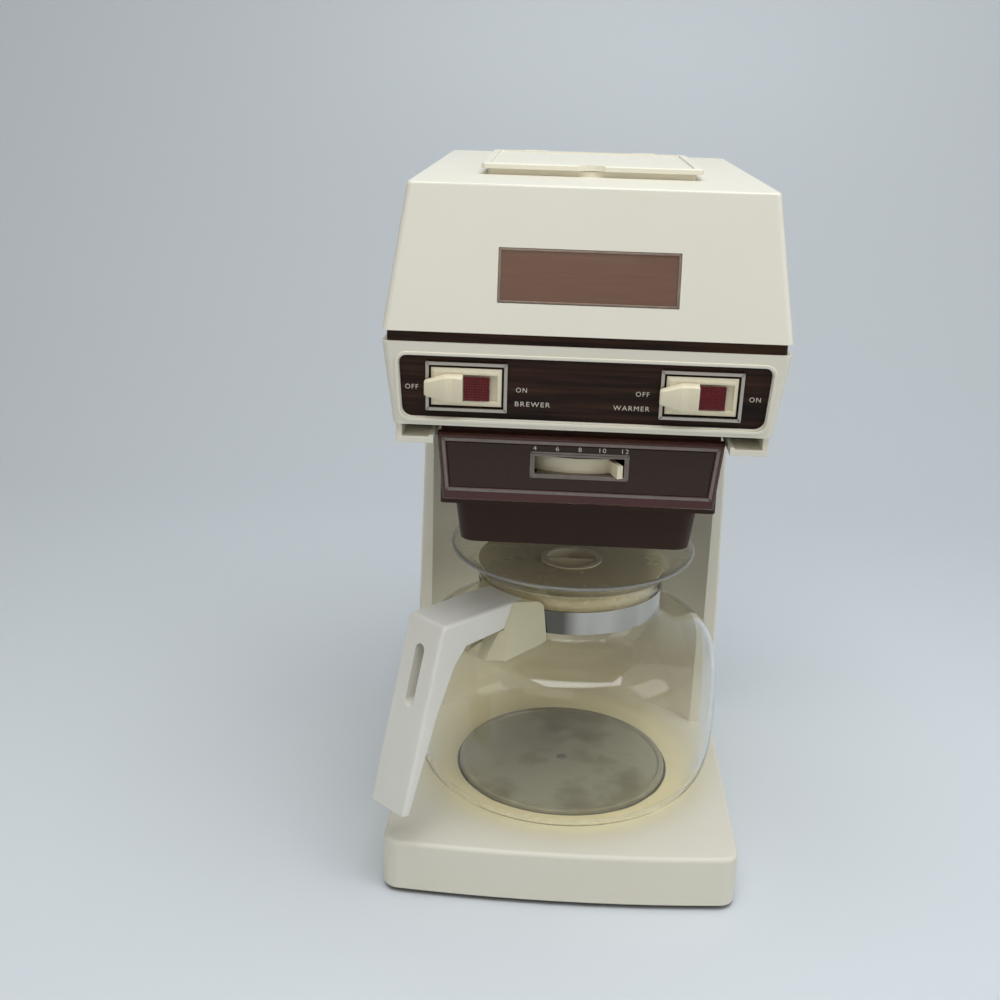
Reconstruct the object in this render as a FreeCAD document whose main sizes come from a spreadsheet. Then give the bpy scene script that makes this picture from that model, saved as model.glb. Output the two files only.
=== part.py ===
import FreeCAD, Part
import math
import os
from types import SimpleNamespace

import Sketcher

# Drip coffee maker. Millimetres, +Z up, the front faces -Y, +X is the viewer's right.
# The origin is on the floor, under the middle of the warmer plate.

doc = FreeCAD.newDocument("drip_coffee_maker")
sheet = doc.addObject("Spreadsheet::Sheet", "Dims")

DRIVING = {
    # body in plan: the carafe sets the width, the front reach and the column's place
    "glass_radius": 80.6, "dish_margin": 2.4, "dish_edge": 4.5, "recess_clear": 7.4,
    "column_depth": 46.0, "front_bow": 4.5, "base_corner": 9.0, "rim_fillet": 2.5,
    "shell_wall": 2.5, "base_top": 29.5, "dish_drop": 2.0,
    # underside
    "feet_radius": 8.0, "feet_height": 1.4, "cover_sheet": 1.6, "cover_inset": 1.5,
    "feet_inset": 18.0, "screw_radius": 1.45, "screw_head": 3.0, "boss_radius": 4.2,
    "screw_play": 0.05, "screw_length": 13.0,
    # column
    "column_inset": 0.5, "column_draft": 5.5, "column_face": 50.0, "column_lip": 9.5,
    # head: how far each level stands in from the body's side, and its front and rear faces
    "head_front": 108.0, "head_inset": 3.1, "housing_height": 36.1, "housing_side_draft": 4.3,
    "housing_front_draft": 4.0, "band_height": 4.6, "band_inset": 2.0, "band_wall": 4.0,
    "shroud_height": 59.2, "shroud_side_draft": 9.0, "shroud_front_draft": 10.0,
    "shroud_rear_draft": 20.0, "head_corner": 3.0, "shroud_edge": 1.2,
    # control panel
    "window_side": 5.5, "window_top": 4.4, "window_bottom": 2.5, "window_corner": 5.0,
    "panel_sheet": 1.6, "panel_margin": 0.9, "panel_play": 0.05, "panel_hole_margin": 0.4,
    "switch_inset": 31.1, "switch_rise": 17.2,
    # switches, in the panel's own plane
    "frame_width": 34.3, "frame_tall": 21.6, "frame_rim": 1.4, "frame_proud": 1.6,
    "plate_width": 29.6, "plate_tall": 16.6, "plate_proud": 2.2, "lens_width": 11.2,
    "lens_tall": 10.8, "lens_left": 1.2, "lens_proud": 3.2, "carriage_play": 0.3,
    "switch_travel": 4.0, "knob_length": 16.3, "knob_shoulder": 8.0, "knob_tall": 12.6,
    "knob_tip": 6.6, "knob_proud": 6.6, "foot_depth": 6.0, "foot_length": 7.8,
    "switch_depth": 20.0, "switch_case_width": 33.0, "switch_case_tall": 17.4,
    # name plate
    "badge_width": 74.2, "badge_tall": 22.3, "badge_rise": 12.4, "badge_pocket": 1.4,
    "badge_sheet": 0.9, "badge_play": 0.25,
    # rails and basket
    "rail_depth": 8.7, "rail_inset": 1.1, "rail_wall": 2.5, "rail_lip": 16.0, "rail_lip_sheet": 2.8,
    "rail_front": 102.0, "rail_bead": 0.8, "flange_sheet": 2.6, "flange_play": 1.0,
    "basket_headroom": 2.1, "basket_height": 66.8, "basket_wall": 2.3, "basket_inset": 26.7,
    "basket_step": 29.6, "basket_front_face": 90.0, "basket_rear": 46.0, "basket_low_front": 58.0,
    "basket_low_rear": 38.0, "basket_low_draft": 3.9, "basket_low_inset": 2.4,
    "basket_corner": 8.0, "outlet_radius": 5.0, "partition_face": 45.0,
    "drawer_thick": 6.0, "drawer_lean": 3.0, "drawer_drop": 34.9, "drawer_tall": 31.4,
    "drawer_play": 1.0, "drawer_taper": 2.5, "inset_margin": 3.7, "inset_low_margin": 6.4,
    "inset_sheet": 1.0, "inset_pocket": 1.2, "drawer_chamfer": 1.2,
    "slot_half": 20.5, "slot_low": 13.3, "slot_tall": 10.6, "slot_rim": 1.1, "slot_depth": 2.2,
    # saver lever
    "lever_sink": 0.8, "lever_radius": 40.0, "lever_band": 2.0, "lever_band_tall": 6.7,
    "lever_half_travel": 20.5, "lever_tail": 29.0, "lever_tab_reach": 10.0, "lever_tab_thick": 2.5,
    "lever_sheet": 1.8, "lever_play": 0.1, "hub_radius": 5.0, "hub_tall": 9.0, "hub_set_back": 4.0,
    "pin_radius": 2.0, "pin_play": 0.05, "clip_radius": 4.0, "clip_sheet": 1.0, "pin_proud": 1.5,
    # warmer
    "warmer_radius": 56.3, "warmer_sheet": 1.2, "warmer_bead": 1.2, "bead_width": 3.4,
    "warmer_skirt": 7.0, "gasket_wall": 1.5, "element_ring": 38.0, "element_radius": 4.0,
    "clamp_length": 92.0, "clamp_width": 16.0, "clamp_sheet": 1.5, "stud_radius": 2.3,
    "thermostat_radius": 8.0,
    # carafe
    "seat_gap": 0.2, "glass_wall": 2.2, "neck_radius": 47.2, "rim_radius": 62.0,
    "rim_bead": 1.5, "neck_low": 95.6, "neck_high": 107.6, "rim_height": 125.6,
    "shoulder_height": 85.2, "band_sheet": 0.9, "band_gap": 0.1, "pour_gap": 19.5,
    "glass_play": 0.35, "lid_level": 117.4, "lid_sheet": 2.0, "lid_skirt": 9.0,
    "grip_radius": 14.3, "grip_depth": 5.0, "grip_sheet": 1.5,
    # handle, in the upright plane that holds its middle line
    "handle_turn": -132.5, "handle_half": 12.4, "arm_top": 112.0, "arm_low": 98.6,
    "arm_foot": 62.0, "corner_reach": 100.6, "grip_foot_reach": 125.0, "grip_foot": 20.0,
    "grip_foot_thick": 4.2,
    "grip_neck_reach": 92.3, "grip_neck": 89.2, "grip_thick": 10.2, "handle_round": 2.6,
    "finger_slot": 6.0, "slot_top": 97.5, "slot_bottom": 73.0, "bracket_root": 43.0,
    "bracket_head": 21.5, "bracket_reach": 55.3, "bracket_half": 26.0, "bracket_foot": 66.0,
    "bracket_foot_half": 19.0, "bracket_end": 71.0, "bracket_end_half": 9.0, "bracket_skirt": 2.2,
    "lug_reach": 68.0, "lug_half": 6.0,
    "lug_sheet": 1.5, "lug_play": 0.2, "handle_screw_reach": 63.5,
    # reservoir and its lid
    "tank_wall": 2.0, "tank_front": 74.0, "tank_side_gap": 9.0, "tank_rear_gap": 8.0,
    "tank_rise": 13.2, "tank_head_gap": 3.5, "lid_half": 48.3, "lid_front": 52.0,
    "lid_rear": 46.0, "lid_flange": 2.4, "lid_plug_tall": 2.6, "lid_overhang": 2.8,
    "lid_skirt_tall": 5.0, "lid_wall": 1.8, "lid_gap": 0.25, "opening_play": 0.9, "lid_border": 3.5,
    "lid_dish": 0.8, "notch_radius": 9.0, "notch_bite": 2.2, "hinge_rear": 4.4,
    "hinge_ear_width": 6.0, "hinge_spacing": 60.0, "knuckle_width": 5.0, "hinge_pin": 1.2,
    "ear_gap": 0.4, "ear_wall": 1.0,
    # water path and electrics
    "boiler_gap": 3.5, "boiler_wall": 1.5, "boiler_foot": 62.0, "boiler_tall": 138.0,
    "tube_radius": 3.6, "tube_bore": 2.4, "feed_offset": 30.0, "feed_level": 74.0,
    "tube_bend": 10.0, "hairpin_half": 6.0, "hairpin_radius": 3.0, "hairpin_tall": 92.0,
    "hairpin_stub": 8.0, "bracket_sheet": 1.5, "spray_radius": 18.0, "spray_flange": 22.0,
    "spray_plate": 1.6, "spray_drop": 0.7, "spray_hole": 1.3, "spray_ring": 12.0,
    "spray_holes": 8, "gland_radius": 5.6, "gland_flange": 8.0, "gland_bore": 2.8,
    "gland_level": 22.0, "gland_inset": 15.0, "fuse_radius": 2.0, "fuse_length": 14.0,
    "block_length": 28.0, "block_depth": 14.0, "block_tall": 13.0, "service_inset": 21.5,
    "service_low": 12.0, "service_gap": 10.0, "cover_margin": 10.0, "cover_boss_margin": 5.5,
    "rear_sheet": 2.0, "fit_play": 0.3,
}
for row, (alias, value) in enumerate(DRIVING.items(), start=1):
    sheet.set(f"A{row}", alias.replace("_", " "))
    sheet.set(f"B{row}", str(value))
    sheet.setAlias(f"B{row}", alias)
doc.recompute()


class Size:
    """A length that carries its number and the sheet formula that it comes from."""

    def __init__(self, value, formula):
        self.value = value
        self.formula = formula

    def __float__(self):
        return float(self.value)

    def __neg__(self):
        return Size(-self.value, f"(-{self.formula})")

    def __add__(self, other):
        return joined(self, "+", other, float(self) + float(other))

    def __radd__(self, other):
        return joined(other, "+", self, float(other) + float(self))

    def __sub__(self, other):
        return joined(self, "-", other, float(self) - float(other))

    def __rsub__(self, other):
        return joined(other, "-", self, float(other) - float(self))

    def __mul__(self, other):
        return joined(self, "*", other, float(self) * float(other))

    def __rmul__(self, other):
        return joined(other, "*", self, float(other) * float(self))

    def __truediv__(self, other):
        return joined(self, "/", other, float(self) / float(other))


def formula_of(size):
    return size.formula if isinstance(size, Size) else repr(float(size))


def joined(left, sign, right, value):
    return Size(value, f"({formula_of(left)} {sign} {formula_of(right)})")


d = SimpleNamespace(**{name: Size(float(sheet.get(name)), f"Dims.{name}") for name in DRIVING})
V = FreeCAD.Vector
NODES = []

# ---------------------------------------------------------------- worked-out places

dish_radius = d.glass_radius + d.dish_margin
body_half = dish_radius + d.dish_edge
front_reach = body_half
recess_back = d.glass_radius + d.recess_clear
rear_face = recess_back + d.column_depth
shell_foot = d.feet_height + d.cover_sheet
skin_low = d.base_top - d.dish_drop - d.shell_wall
warmer_top = d.base_top + 1.1
glass_foot = warmer_top + d.seat_gap
basket_low = glass_foot + d.rim_height + d.rim_bead + d.pour_gap
basket_top = basket_low + d.basket_height
head_low = basket_top + d.basket_headroom
housing_top = head_low + d.housing_height
shroud_low = housing_top + d.band_height
shroud_top = shroud_low + d.shroud_height
head_half = body_half - d.head_inset
housing_half_low = head_half - d.housing_side_draft
housing_front_low = d.head_front - d.housing_front_draft
shroud_half_top = head_half - d.shroud_side_draft
column_half_foot = body_half - d.column_inset
column_half_head = column_half_foot - d.column_draft
recess_half = body_half - d.column_lip
service_half = column_half_head - d.service_inset
drawer_low = basket_top - d.drawer_drop
gland_offset = service_half - d.gland_inset
switch_offset = housing_half_low - d.switch_inset
boiler_y = rear_face - d.column_depth / 2
boiler_radius = d.column_depth / 2 - d.shell_wall - d.boiler_gap
rail_half = housing_half_low - d.rail_inset
basket_half = body_half - d.basket_inset
flange_half = rail_half - d.rail_wall - d.flange_play
drawer_half_top = rail_half - d.rail_lip - d.drawer_play


# ---------------------------------------------------------------- building helpers

def bind(thing, **sizes):
    """Ties properties to the sheet; a double underscore stands for a dot in the path."""
    for path, size in sizes.items():
        thing.setExpression(path.replace("__", "."), formula_of(size))
    return thing


def place(thing, x=0, y=0, z=0):
    return bind(thing, Placement__Base__x=x, Placement__Base__y=y, Placement__Base__z=z)


def named(thing, label):
    thing.Label = label
    NODES.append(thing)
    return thing


def box(name, x0, x1, y0, y1, z0, z1):
    thing = doc.addObject("Part::Box", name)
    bind(thing, Length=x1 - x0, Width=y1 - y0, Height=z1 - z0)
    return place(thing, x0, y0, z0)


def cylinder(name, radius, height, x=0, y=0, z=0):
    thing = doc.addObject("Part::Cylinder", name)
    return place(bind(thing, Radius=radius, Height=height), x, y, z)


def ring(name, outer, inner, height, x=0, y=0, z=0):
    return cut(name, cylinder(name + "_outer", outer, height, x, y, z),
               cylinder(name + "_bore", inner, height, x, y, z))


def cut(name, base, *tools):
    thing = doc.addObject("Part::Cut", name)
    thing.Base = base
    thing.Tool = tools[0] if len(tools) == 1 else fuse(name + "_tools", *tools)
    return thing


def fuse(name, *pieces):
    thing = doc.addObject("Part::MultiFuse", name)
    thing.Shapes = list(pieces)
    return thing


def group(name, *pieces):
    thing = doc.addObject("Part::Compound", name)
    thing.Links = list(pieces)
    return thing


def feature(name, shape, placement=None):
    thing = doc.addObject("Part::Feature", name)
    thing.Shape = shape
    if placement is not None:
        thing.Placement = placement
    return thing


def solid_box(x0, x1, y0, y1, z0, z1):
    x0, x1, y0, y1, z0, z1 = [float(v) for v in (x0, x1, y0, y1, z0, z1)]
    return Part.makeBox(x1 - x0, y1 - y0, z1 - z0, V(x0, y0, z0))


def solid_cylinder(radius, height, x, y, z):
    return Part.makeCylinder(float(radius), float(height), V(float(x), float(y), float(z)))


def polygon_face(points):
    corners = [V(*[float(c) for c in point]) for point in points]
    return Part.Face(Part.makePolygon(corners + corners[:1]))


def rounded(shape, radius, wanted):
    """Fillets the edges that the test picks."""
    edges = [edge for edge in shape.Edges if wanted(edge)]
    return shape.makeFillet(float(radius), edges) if edges else shape


def upright(edge):
    low, high = edge.BoundBox.ZMin, edge.BoundBox.ZMax
    return high - low > 0.9 * edge.Length


def plan_wire(half, front, rear, z):
    half, front, rear, z = [float(v) for v in (half, front, rear, z)]
    corners = [V(-half, -front, z), V(half, -front, z), V(half, rear, z), V(-half, rear, z)]
    return Part.makePolygon(corners + corners[:1])


def hopper(low, high, corner=0):
    """A box with sloping sides between two levels of (half width, front, rear, z)."""
    shape = Part.makeLoft([plan_wire(*low), plan_wire(*high)], True, True)
    return rounded(shape, corner, upright) if float(corner) > 0 else shape


def along(low, high, z):
    """The (half width, front, rear, z) level at height z of a hopper's slope."""
    share = (float(z) - float(low[3])) / (float(high[3]) - float(low[3]))
    return tuple(float(a) + share * (float(b) - float(a)) for a, b in zip(low[:3], high[:3])) + (z,)


def inside(level, wall):
    return (level[0] - float(wall), level[1] - float(wall), level[2] - float(wall), level[3])


def origin_plane(body, role):
    return next(item for item in body.Origin.OriginFeatures if item.Role == role)


def new_body(label):
    return named(doc.addObject("PartDesign::Body", label), label)


def sketch_on(body, role, name, offset=0):
    sketch = body.newObject("Sketcher::SketchObject", name)
    sketch.AttachmentSupport = [(origin_plane(body, role), "")]
    sketch.MapMode = "FlatFace"
    bind(sketch, AttachmentOffset__Base__z=offset)
    return sketch


def pin_point(sketch, line, end, x, y):
    for kind, size, axis in (("DistanceX", x, -2), ("DistanceY", y, -1)):
        if abs(float(size)) < 1e-9:
            sketch.addConstraint(Sketcher.Constraint("PointOnObject", line, end, axis))
            continue
        index = sketch.addConstraint(Sketcher.Constraint(kind, -1, 1, line, end, float(size)))
        sketch.setExpression(f"Constraints[{index}]", formula_of(size))


def outline(sketch, corners):
    """Adds a closed polygon whose corners are tied to the sheet."""
    first = sketch.GeometryCount
    count = len(corners)
    spots = [V(float(x), float(y), 0) for x, y in corners]
    for i in range(count):
        sketch.addGeometry(Part.LineSegment(spots[i], spots[(i + 1) % count]), False)
    for i in range(count):
        following = first + (i + 1) % count
        sketch.addConstraint(Sketcher.Constraint("Coincident", first + i, 2, following, 1))
    for i, (x, y) in enumerate(corners):
        pin_point(sketch, first + i, 1, x, y)


def rectangle(sketch, x0, x1, y0, y1):
    outline(sketch, [(x0, y0), (x1, y0), (x1, y1), (x0, y1)])


def circle(sketch, radius, x=0, y=0):
    index = sketch.addGeometry(Part.Circle(V(float(x), float(y), 0), V(0, 0, 1), float(radius)), False)
    pin_point(sketch, index, 3, x, y)
    tie = sketch.addConstraint(Sketcher.Constraint("Radius", index, float(radius)))
    sketch.setExpression(f"Constraints[{tie}]", formula_of(radius))


def pad(body, sketch, length, backwards=False):
    step = body.newObject("PartDesign::Pad", sketch.Name + "_pad")
    step.Profile = sketch
    step.Reversed = backwards
    bind(step, Length=length)
    doc.recompute()
    return step


def pocket(body, sketch, length, backwards=False):
    """Cuts, and checks that the cut points into the solid."""
    before = body.Shape.Volume
    step = body.newObject("PartDesign::Pocket", sketch.Name + "_pocket")
    step.Profile = sketch
    step.Reversed = backwards
    bind(step, Length=length)
    doc.recompute()
    if body.Shape.Volume > before - 1e-6:
        raise ValueError(f"{step.Name} cuts nothing")
    return step


def turned(label, corners):
    """A body of revolution about Z from a closed profile of (radius, z) corners."""
    body = new_body(label)
    sketch = sketch_on(body, "XZ_Plane", label + "_profile")
    outline(sketch, corners)
    step = body.newObject("PartDesign::Revolution", label + "_turn")
    step.Profile = sketch
    step.ReferenceAxis = (sketch, ["V_Axis"])
    step.Angle = 360
    doc.recompute()
    return body


def arc(start, middle, end):
    return Part.Arc(V(*start), V(*middle), V(*end)).toShape()


def tube(points, bend, outer, bore):
    """A round tube through the points, with tangent arcs of the same radius at each turn."""
    spots = [V(*[float(c) for c in point]) for point in points]
    edges = []
    start = spots[0]
    for before, corner, after in zip(spots, spots[1:], spots[2:]):
        inward = (before - corner).normalize()
        outward = (after - corner).normalize()
        half_turn = inward.getAngle(outward) / 2
        reach = float(bend) / math.tan(half_turn)
        first = corner + inward * reach
        last = corner + outward * reach
        bisector = (inward + outward).normalize()
        centre = corner + bisector * (float(bend) / math.sin(half_turn))
        edges.append(Part.makeLine(start, first))
        edges.append(Part.Arc(first, centre - bisector * float(bend), last).toShape())
        start = last
    edges.append(Part.makeLine(start, spots[-1]))
    path = Part.Wire(edges)
    heading = edges[0].tangentAt(edges[0].FirstParameter)
    shapes = []
    for radius in (outer, bore):
        if float(radius) > 0:
            hoop = Part.Wire([Part.makeCircle(float(radius), spots[0], heading)])
            shapes.append(path.makePipeShell([hoop], True, False))
    return shapes[0].cut(shapes[1]) if len(shapes) == 2 else shapes[0]


# ---------------------------------------------------------------- base and column shell

def base_block(inset, low, high, corner):
    """The base's plan with its bowed front edge, drawn in by the inset."""
    half = float(body_half - inset)
    front = float(front_reach - inset)
    rear = float(rear_face - inset)
    low, high = float(low), float(high)
    left, right = V(-half, -front, low), V(half, -front, low)
    bow = V(0, -front - float(d.front_bow), low)
    edges = [Part.Arc(left, bow, right).toShape()]
    for start, end in ((right, V(half, rear, low)), (V(half, rear, low), V(-half, rear, low)),
                       (V(-half, rear, low), left)):
        edges.append(Part.makeLine(start, end))
    block = Part.Face(Part.Wire(edges)).extrude(V(0, 0, high - low))
    block = rounded(block, corner, lambda e: upright(e) and e.CenterOfMass.y < 0)
    return block


column_low = (column_half_foot, -d.column_face, rear_face, d.base_top)
column_high = (column_half_head, -d.column_face, rear_face, head_low)
recess_depth = recess_back - d.column_face
recess_radius = (float(recess_half) ** 2 + float(recess_depth) ** 2) / (2 * float(recess_depth))
recess_y = float(recess_back) - recess_radius


def base_shell():
    ceiling = float(d.base_top) - 1.0
    outer = base_block(0, shell_foot, d.base_top, d.base_corner)
    outer = rounded(outer, d.rim_fillet, lambda e: abs(e.BoundBox.ZMin - float(d.base_top)) < 0.01
                    and e.CenterOfMass.y < float(rear_face) - 1)
    low, high = column_low, column_high
    column = hopper(along(low, high, ceiling), high)
    scoop = Part.makeCylinder(recess_radius, 400, V(0, recess_y, float(d.base_top)))
    column = rounded(column, 1.6, lambda e: upright(e) and e.CenterOfMass.y < float(d.column_face) + 1)
    shell = outer.fuse(column.cut(scoop))
    wall = float(d.shell_wall)
    hollow = base_block(d.shell_wall, float(shell_foot) - 1, skin_low, float(d.base_corner) - wall)
    core = hopper(inside(along(low, high, float(shell_foot) - 1), wall),
                  inside(along(low, high, float(head_low) + 1), wall))
    behind = Part.makeCylinder(recess_radius + wall, 400, V(0, recess_y, float(skin_low)))
    shell = shell.cut(hollow.fuse(core.cut(behind)))
    dish = Part.makeCone(float(d.warmer_radius), float(dish_radius), float(d.dish_drop),
                         V(0, 0, float(d.base_top - d.dish_drop)))
    well = Part.makeCylinder(float(d.warmer_radius + d.gasket_wall), 60, V(0, 0, 0))
    shell = shell.cut(dish).cut(well)
    service = solid_box(-service_half, service_half, rear_face - 4, rear_face + 1,
                        d.service_low, head_low - d.service_gap)
    shell = shell.cut(service)
    for x, y in foot_places():
        boss = solid_cylinder(d.boss_radius, skin_low - shell_foot + 0.5, x, y, shell_foot)
        wall_x = math.copysign(float(body_half) - wall / 2, x)
        rib = solid_box(min(x, wall_x), max(x, wall_x), y - 1, y + 1, shell_foot, skin_low + 0.5)
        boss = boss.fuse(rib)
        bore = solid_cylinder(d.screw_radius + d.screw_play, d.screw_length, x, y, shell_foot)
        shell = shell.fuse(boss).cut(bore)
    for x, z in cover_screw_places():
        boss = Part.makeCylinder(float(d.boss_radius), 11, V(x, float(rear_face) - wall - 10, z), V(0, 1, 0))
        reach_x = math.copysign(float(body_half), x)
        rib = solid_box(min(x, reach_x), max(x, reach_x), rear_face - wall - 9, rear_face - 1, z - 1, z + 1)
        shell = shell.fuse(boss.fuse(rib).common(column))
        shell = shell.cut(Part.makeCylinder(float(d.screw_radius + d.screw_play), 14,
                                            V(x, float(rear_face) - wall - 9.5, z), V(0, 1, 0)))
    for x, y in head_screw_places():
        side = 1 if x > 0 else -1
        edge = float(column_half_head) + 1
        block = solid_box(min(x - side * 4, side * edge), max(x - side * 4, side * edge),
                          y - 4, y + 4, head_low - 14, head_low)
        shell = shell.fuse(block.common(hopper(along(low, high, head_low - 14), high)))
        shell = shell.cut(solid_cylinder(d.screw_radius + d.screw_play, 12, x, y, head_low - 12))
    return shell


def foot_places():
    x = float(body_half - d.feet_inset)
    return [(sx * x, y) for sx in (-1, 1) for y in (-float(front_reach - d.feet_inset),
                                                    float(rear_face - d.feet_inset))]


def cover_screw_places():
    x = float(service_half + d.cover_boss_margin)
    return [(sx * x, z) for sx in (-1, 1) for z in (float(d.service_low) + 28.0, float(head_low) - 40.0)]


def head_screw_places():
    x = float(column_half_head) - 7.0
    return [(sx * x, y) for sx in (-1, 1) for y in (float(rear_face) - 12.0, float(rear_face) - 52.0)]


named(feature("base_shell", base_shell()), "base_shell")


# ---------------------------------------------------------------- underside

def bottom_cover():
    sheet_metal = base_block(d.cover_inset, d.feet_height, shell_foot, d.base_corner - d.cover_inset)
    for x, y in foot_places():
        sheet_metal = sheet_metal.cut(solid_cylinder(d.screw_radius + d.fit_play, 4, x, y, 0))
    return sheet_metal


named(feature("bottom_cover", bottom_cover()), "bottom_cover")
foot_solids = []
screw_solids = []
for index, (x, y) in enumerate(foot_places()):
    well = cylinder(f"foot_well_{index}", d.screw_head + d.fit_play, d.feet_height, x, y)
    pad_disc = cylinder(f"foot_disc_{index}", d.feet_radius, d.feet_height, x, y)
    foot_solids.append(cut(f"foot_{index}", pad_disc, well))
    head = cylinder(f"foot_screw_head_{index}", d.screw_head, d.feet_height / 2, x, y, d.feet_height / 2)
    shank = cylinder(f"foot_screw_shank_{index}", d.screw_radius, d.screw_length, x, y, d.feet_height)
    screw_solids.append(fuse(f"foot_screw_{index}", head, shank))
named(group("rubber_feet", *foot_solids), "rubber_feet")
named(group("bottom_screws", *screw_solids), "bottom_screws")

# ---------------------------------------------------------------- rear of the column

rear_cover = new_body("rear_cover")
rear_sketch = sketch_on(rear_cover, "XZ_Plane", "rear_cover_plan", -rear_face)
cover_half = service_half + d.cover_margin
cover_low = d.service_low - d.cover_margin / 2
cover_high = head_low - d.service_gap + d.cover_margin / 2
rectangle(rear_sketch, -cover_half, cover_half, cover_low, cover_high)
pad(rear_cover, rear_sketch, d.rear_sheet, True)
gland_sketch = sketch_on(rear_cover, "XZ_Plane", "gland_hole", -rear_face)
circle(gland_sketch, d.gland_radius + d.pin_play, -gland_offset, d.gland_level)
pocket(rear_cover, gland_sketch, d.rear_sheet)
for index, (x, z) in enumerate(cover_screw_places()):
    screw_sketch = sketch_on(rear_cover, "XZ_Plane", f"cover_screw_hole_{index}", -rear_face)
    circle(screw_sketch, d.screw_radius + d.screw_play, x, z)
    pocket(rear_cover, screw_sketch, d.rear_sheet)

gland_parts = []
for name, radius, start, length in (("gland_barrel", d.gland_radius, -6.0, 9.0),
                                    ("gland_flange", d.gland_flange, d.rear_sheet, 2.0),
                                    ("gland_nut", d.gland_flange, -2.0, 2.0)):
    piece = cylinder(name, radius, length, -gland_offset, rear_face + start, d.gland_level)
    piece.Placement.Rotation = FreeCAD.Rotation(V(1, 0, 0), -90)
    gland_parts.append(piece)
gland_bore = cylinder("gland_bore", d.gland_bore, 14, -gland_offset, rear_face - 8, d.gland_level)
gland_bore.Placement.Rotation = FreeCAD.Rotation(V(1, 0, 0), -90)
named(cut("cord_gland", fuse("gland_body", *gland_parts), gland_bore), "cord_gland")


def screw_along_y(name, x, z, face):
    """A screw whose head stands on a face and whose shank points at -Y."""
    head = cylinder(name + "_head", d.screw_head, 1.6, x, face, z)
    shank = cylinder(name + "_shank", d.screw_radius, 12.0, x, face - 12.0, z)
    for piece in (head, shank):
        piece.Placement.Rotation = FreeCAD.Rotation(V(1, 0, 0), -90)
    return fuse(name, head, shank)


named(group("rear_cover_screws", *[screw_along_y(f"rear_screw_{i}", x, z, rear_face + d.rear_sheet)
                                   for i, (x, z) in enumerate(cover_screw_places())]), "rear_cover_screws")

# ---------------------------------------------------------------- warmer

plate_low = warmer_top - d.warmer_bead - d.warmer_sheet
bead_in = d.warmer_radius - d.bead_width
turned("warmer_plate", [
    (0, plate_low), (bead_in + 0.8, plate_low), (bead_in + 1.4, plate_low + d.warmer_bead),
    (d.warmer_radius - d.warmer_sheet, plate_low + d.warmer_bead),
    (d.warmer_radius - d.warmer_sheet, warmer_top - d.warmer_skirt),
    (d.warmer_radius, warmer_top - d.warmer_skirt), (d.warmer_radius, warmer_top - 0.6),
    (d.warmer_radius - 0.6, warmer_top), (bead_in + 0.6, warmer_top),
    (bead_in, plate_low + d.warmer_sheet), (0, plate_low + d.warmer_sheet)])
gasket_low = skin_low - 1.0
turned("warmer_gasket", [
    (d.warmer_radius, gasket_low), (d.warmer_radius + d.gasket_wall + 2.0, gasket_low),
    (d.warmer_radius + d.gasket_wall + 2.0, skin_low), (d.warmer_radius + d.gasket_wall, skin_low),
    (d.warmer_radius + d.gasket_wall, d.base_top - d.dish_drop),
    (d.warmer_radius, d.base_top - d.dish_drop)])
element_z = plate_low - d.element_radius
element = doc.addObject("Part::Torus", "warmer_element_ring")
place(bind(element, Radius1=d.element_ring, Radius2=d.element_radius), z=element_z)
named(element, "warmer_element")
clamp_z = element_z - d.element_radius - d.clamp_sheet
clamp_bar = box("clamp_bar", -d.clamp_length / 2, d.clamp_length / 2, -d.clamp_width / 2,
                d.clamp_width / 2, clamp_z, clamp_z + d.clamp_sheet)
clamp_hole = cylinder("clamp_hole", d.stud_radius + d.pin_play, d.clamp_sheet, z=clamp_z)
named(cut("element_clamp", clamp_bar, clamp_hole), "element_clamp")
stud_low = clamp_z - 3.0
stud = cylinder("stud_shank", d.stud_radius, plate_low - stud_low, z=stud_low)
stud_nut = cylinder("stud_nut", d.stud_radius * 2, 2.4, z=clamp_z - 2.4)
named(fuse("clamp_stud", stud, stud_nut), "clamp_stud")
stat_x = d.element_ring / 2
stat_can = cylinder("thermostat_can", d.thermostat_radius, d.element_radius * 2, stat_x, 0,
                    plate_low - d.element_radius * 2)
named(stat_can, "warmer_thermostat")

# ---------------------------------------------------------------- water path inside the column

boiler_top = d.boiler_foot + d.boiler_tall
boiler = turned("boiler_tank", [
    (0, d.boiler_foot), (boiler_radius, d.boiler_foot), (boiler_radius, boiler_top),
    (0, boiler_top), (0, boiler_top - d.boiler_wall),
    (boiler_radius - d.boiler_wall, boiler_top - d.boiler_wall),
    (boiler_radius - d.boiler_wall, d.boiler_foot + d.boiler_wall), (0, d.boiler_foot + d.boiler_wall)])
place(boiler, y=boiler_y)
for port, radius, x in (("riser_port", d.tube_radius, 0),
                        ("left_leg_hole", d.hairpin_radius, -d.hairpin_half),
                        ("right_leg_hole", d.hairpin_radius, d.hairpin_half)):
    level = boiler_top if port == "riser_port" else d.boiler_foot + d.boiler_wall
    port_sketch = sketch_on(boiler, "XY_Plane", port, level)
    circle(port_sketch, radius, x)
    pocket(boiler, port_sketch, d.boiler_wall)
feed_sketch = sketch_on(boiler, "YZ_Plane", "feed_port", -boiler_radius - 1)
circle(feed_sketch, d.tube_radius, 0, d.feed_level)
pocket(boiler, feed_sketch, d.boiler_wall + 2, True)


def hairpin():
    low = float(d.boiler_foot - d.hairpin_stub)
    bend_z = float(d.boiler_foot + d.hairpin_tall)
    x, y = float(d.hairpin_half), float(boiler_y)
    path = Part.Wire([Part.makeLine(V(-x, y, low), V(-x, y, bend_z)),
                      arc((-x, y, bend_z), (0, y, bend_z + x), (x, y, bend_z)),
                      Part.makeLine(V(x, y, bend_z), V(x, y, low))])
    hoop = Part.Wire([Part.makeCircle(float(d.hairpin_radius), V(-x, y, low), V(0, 0, 1))])
    return path.makePipeShell([hoop], True, False)


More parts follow.
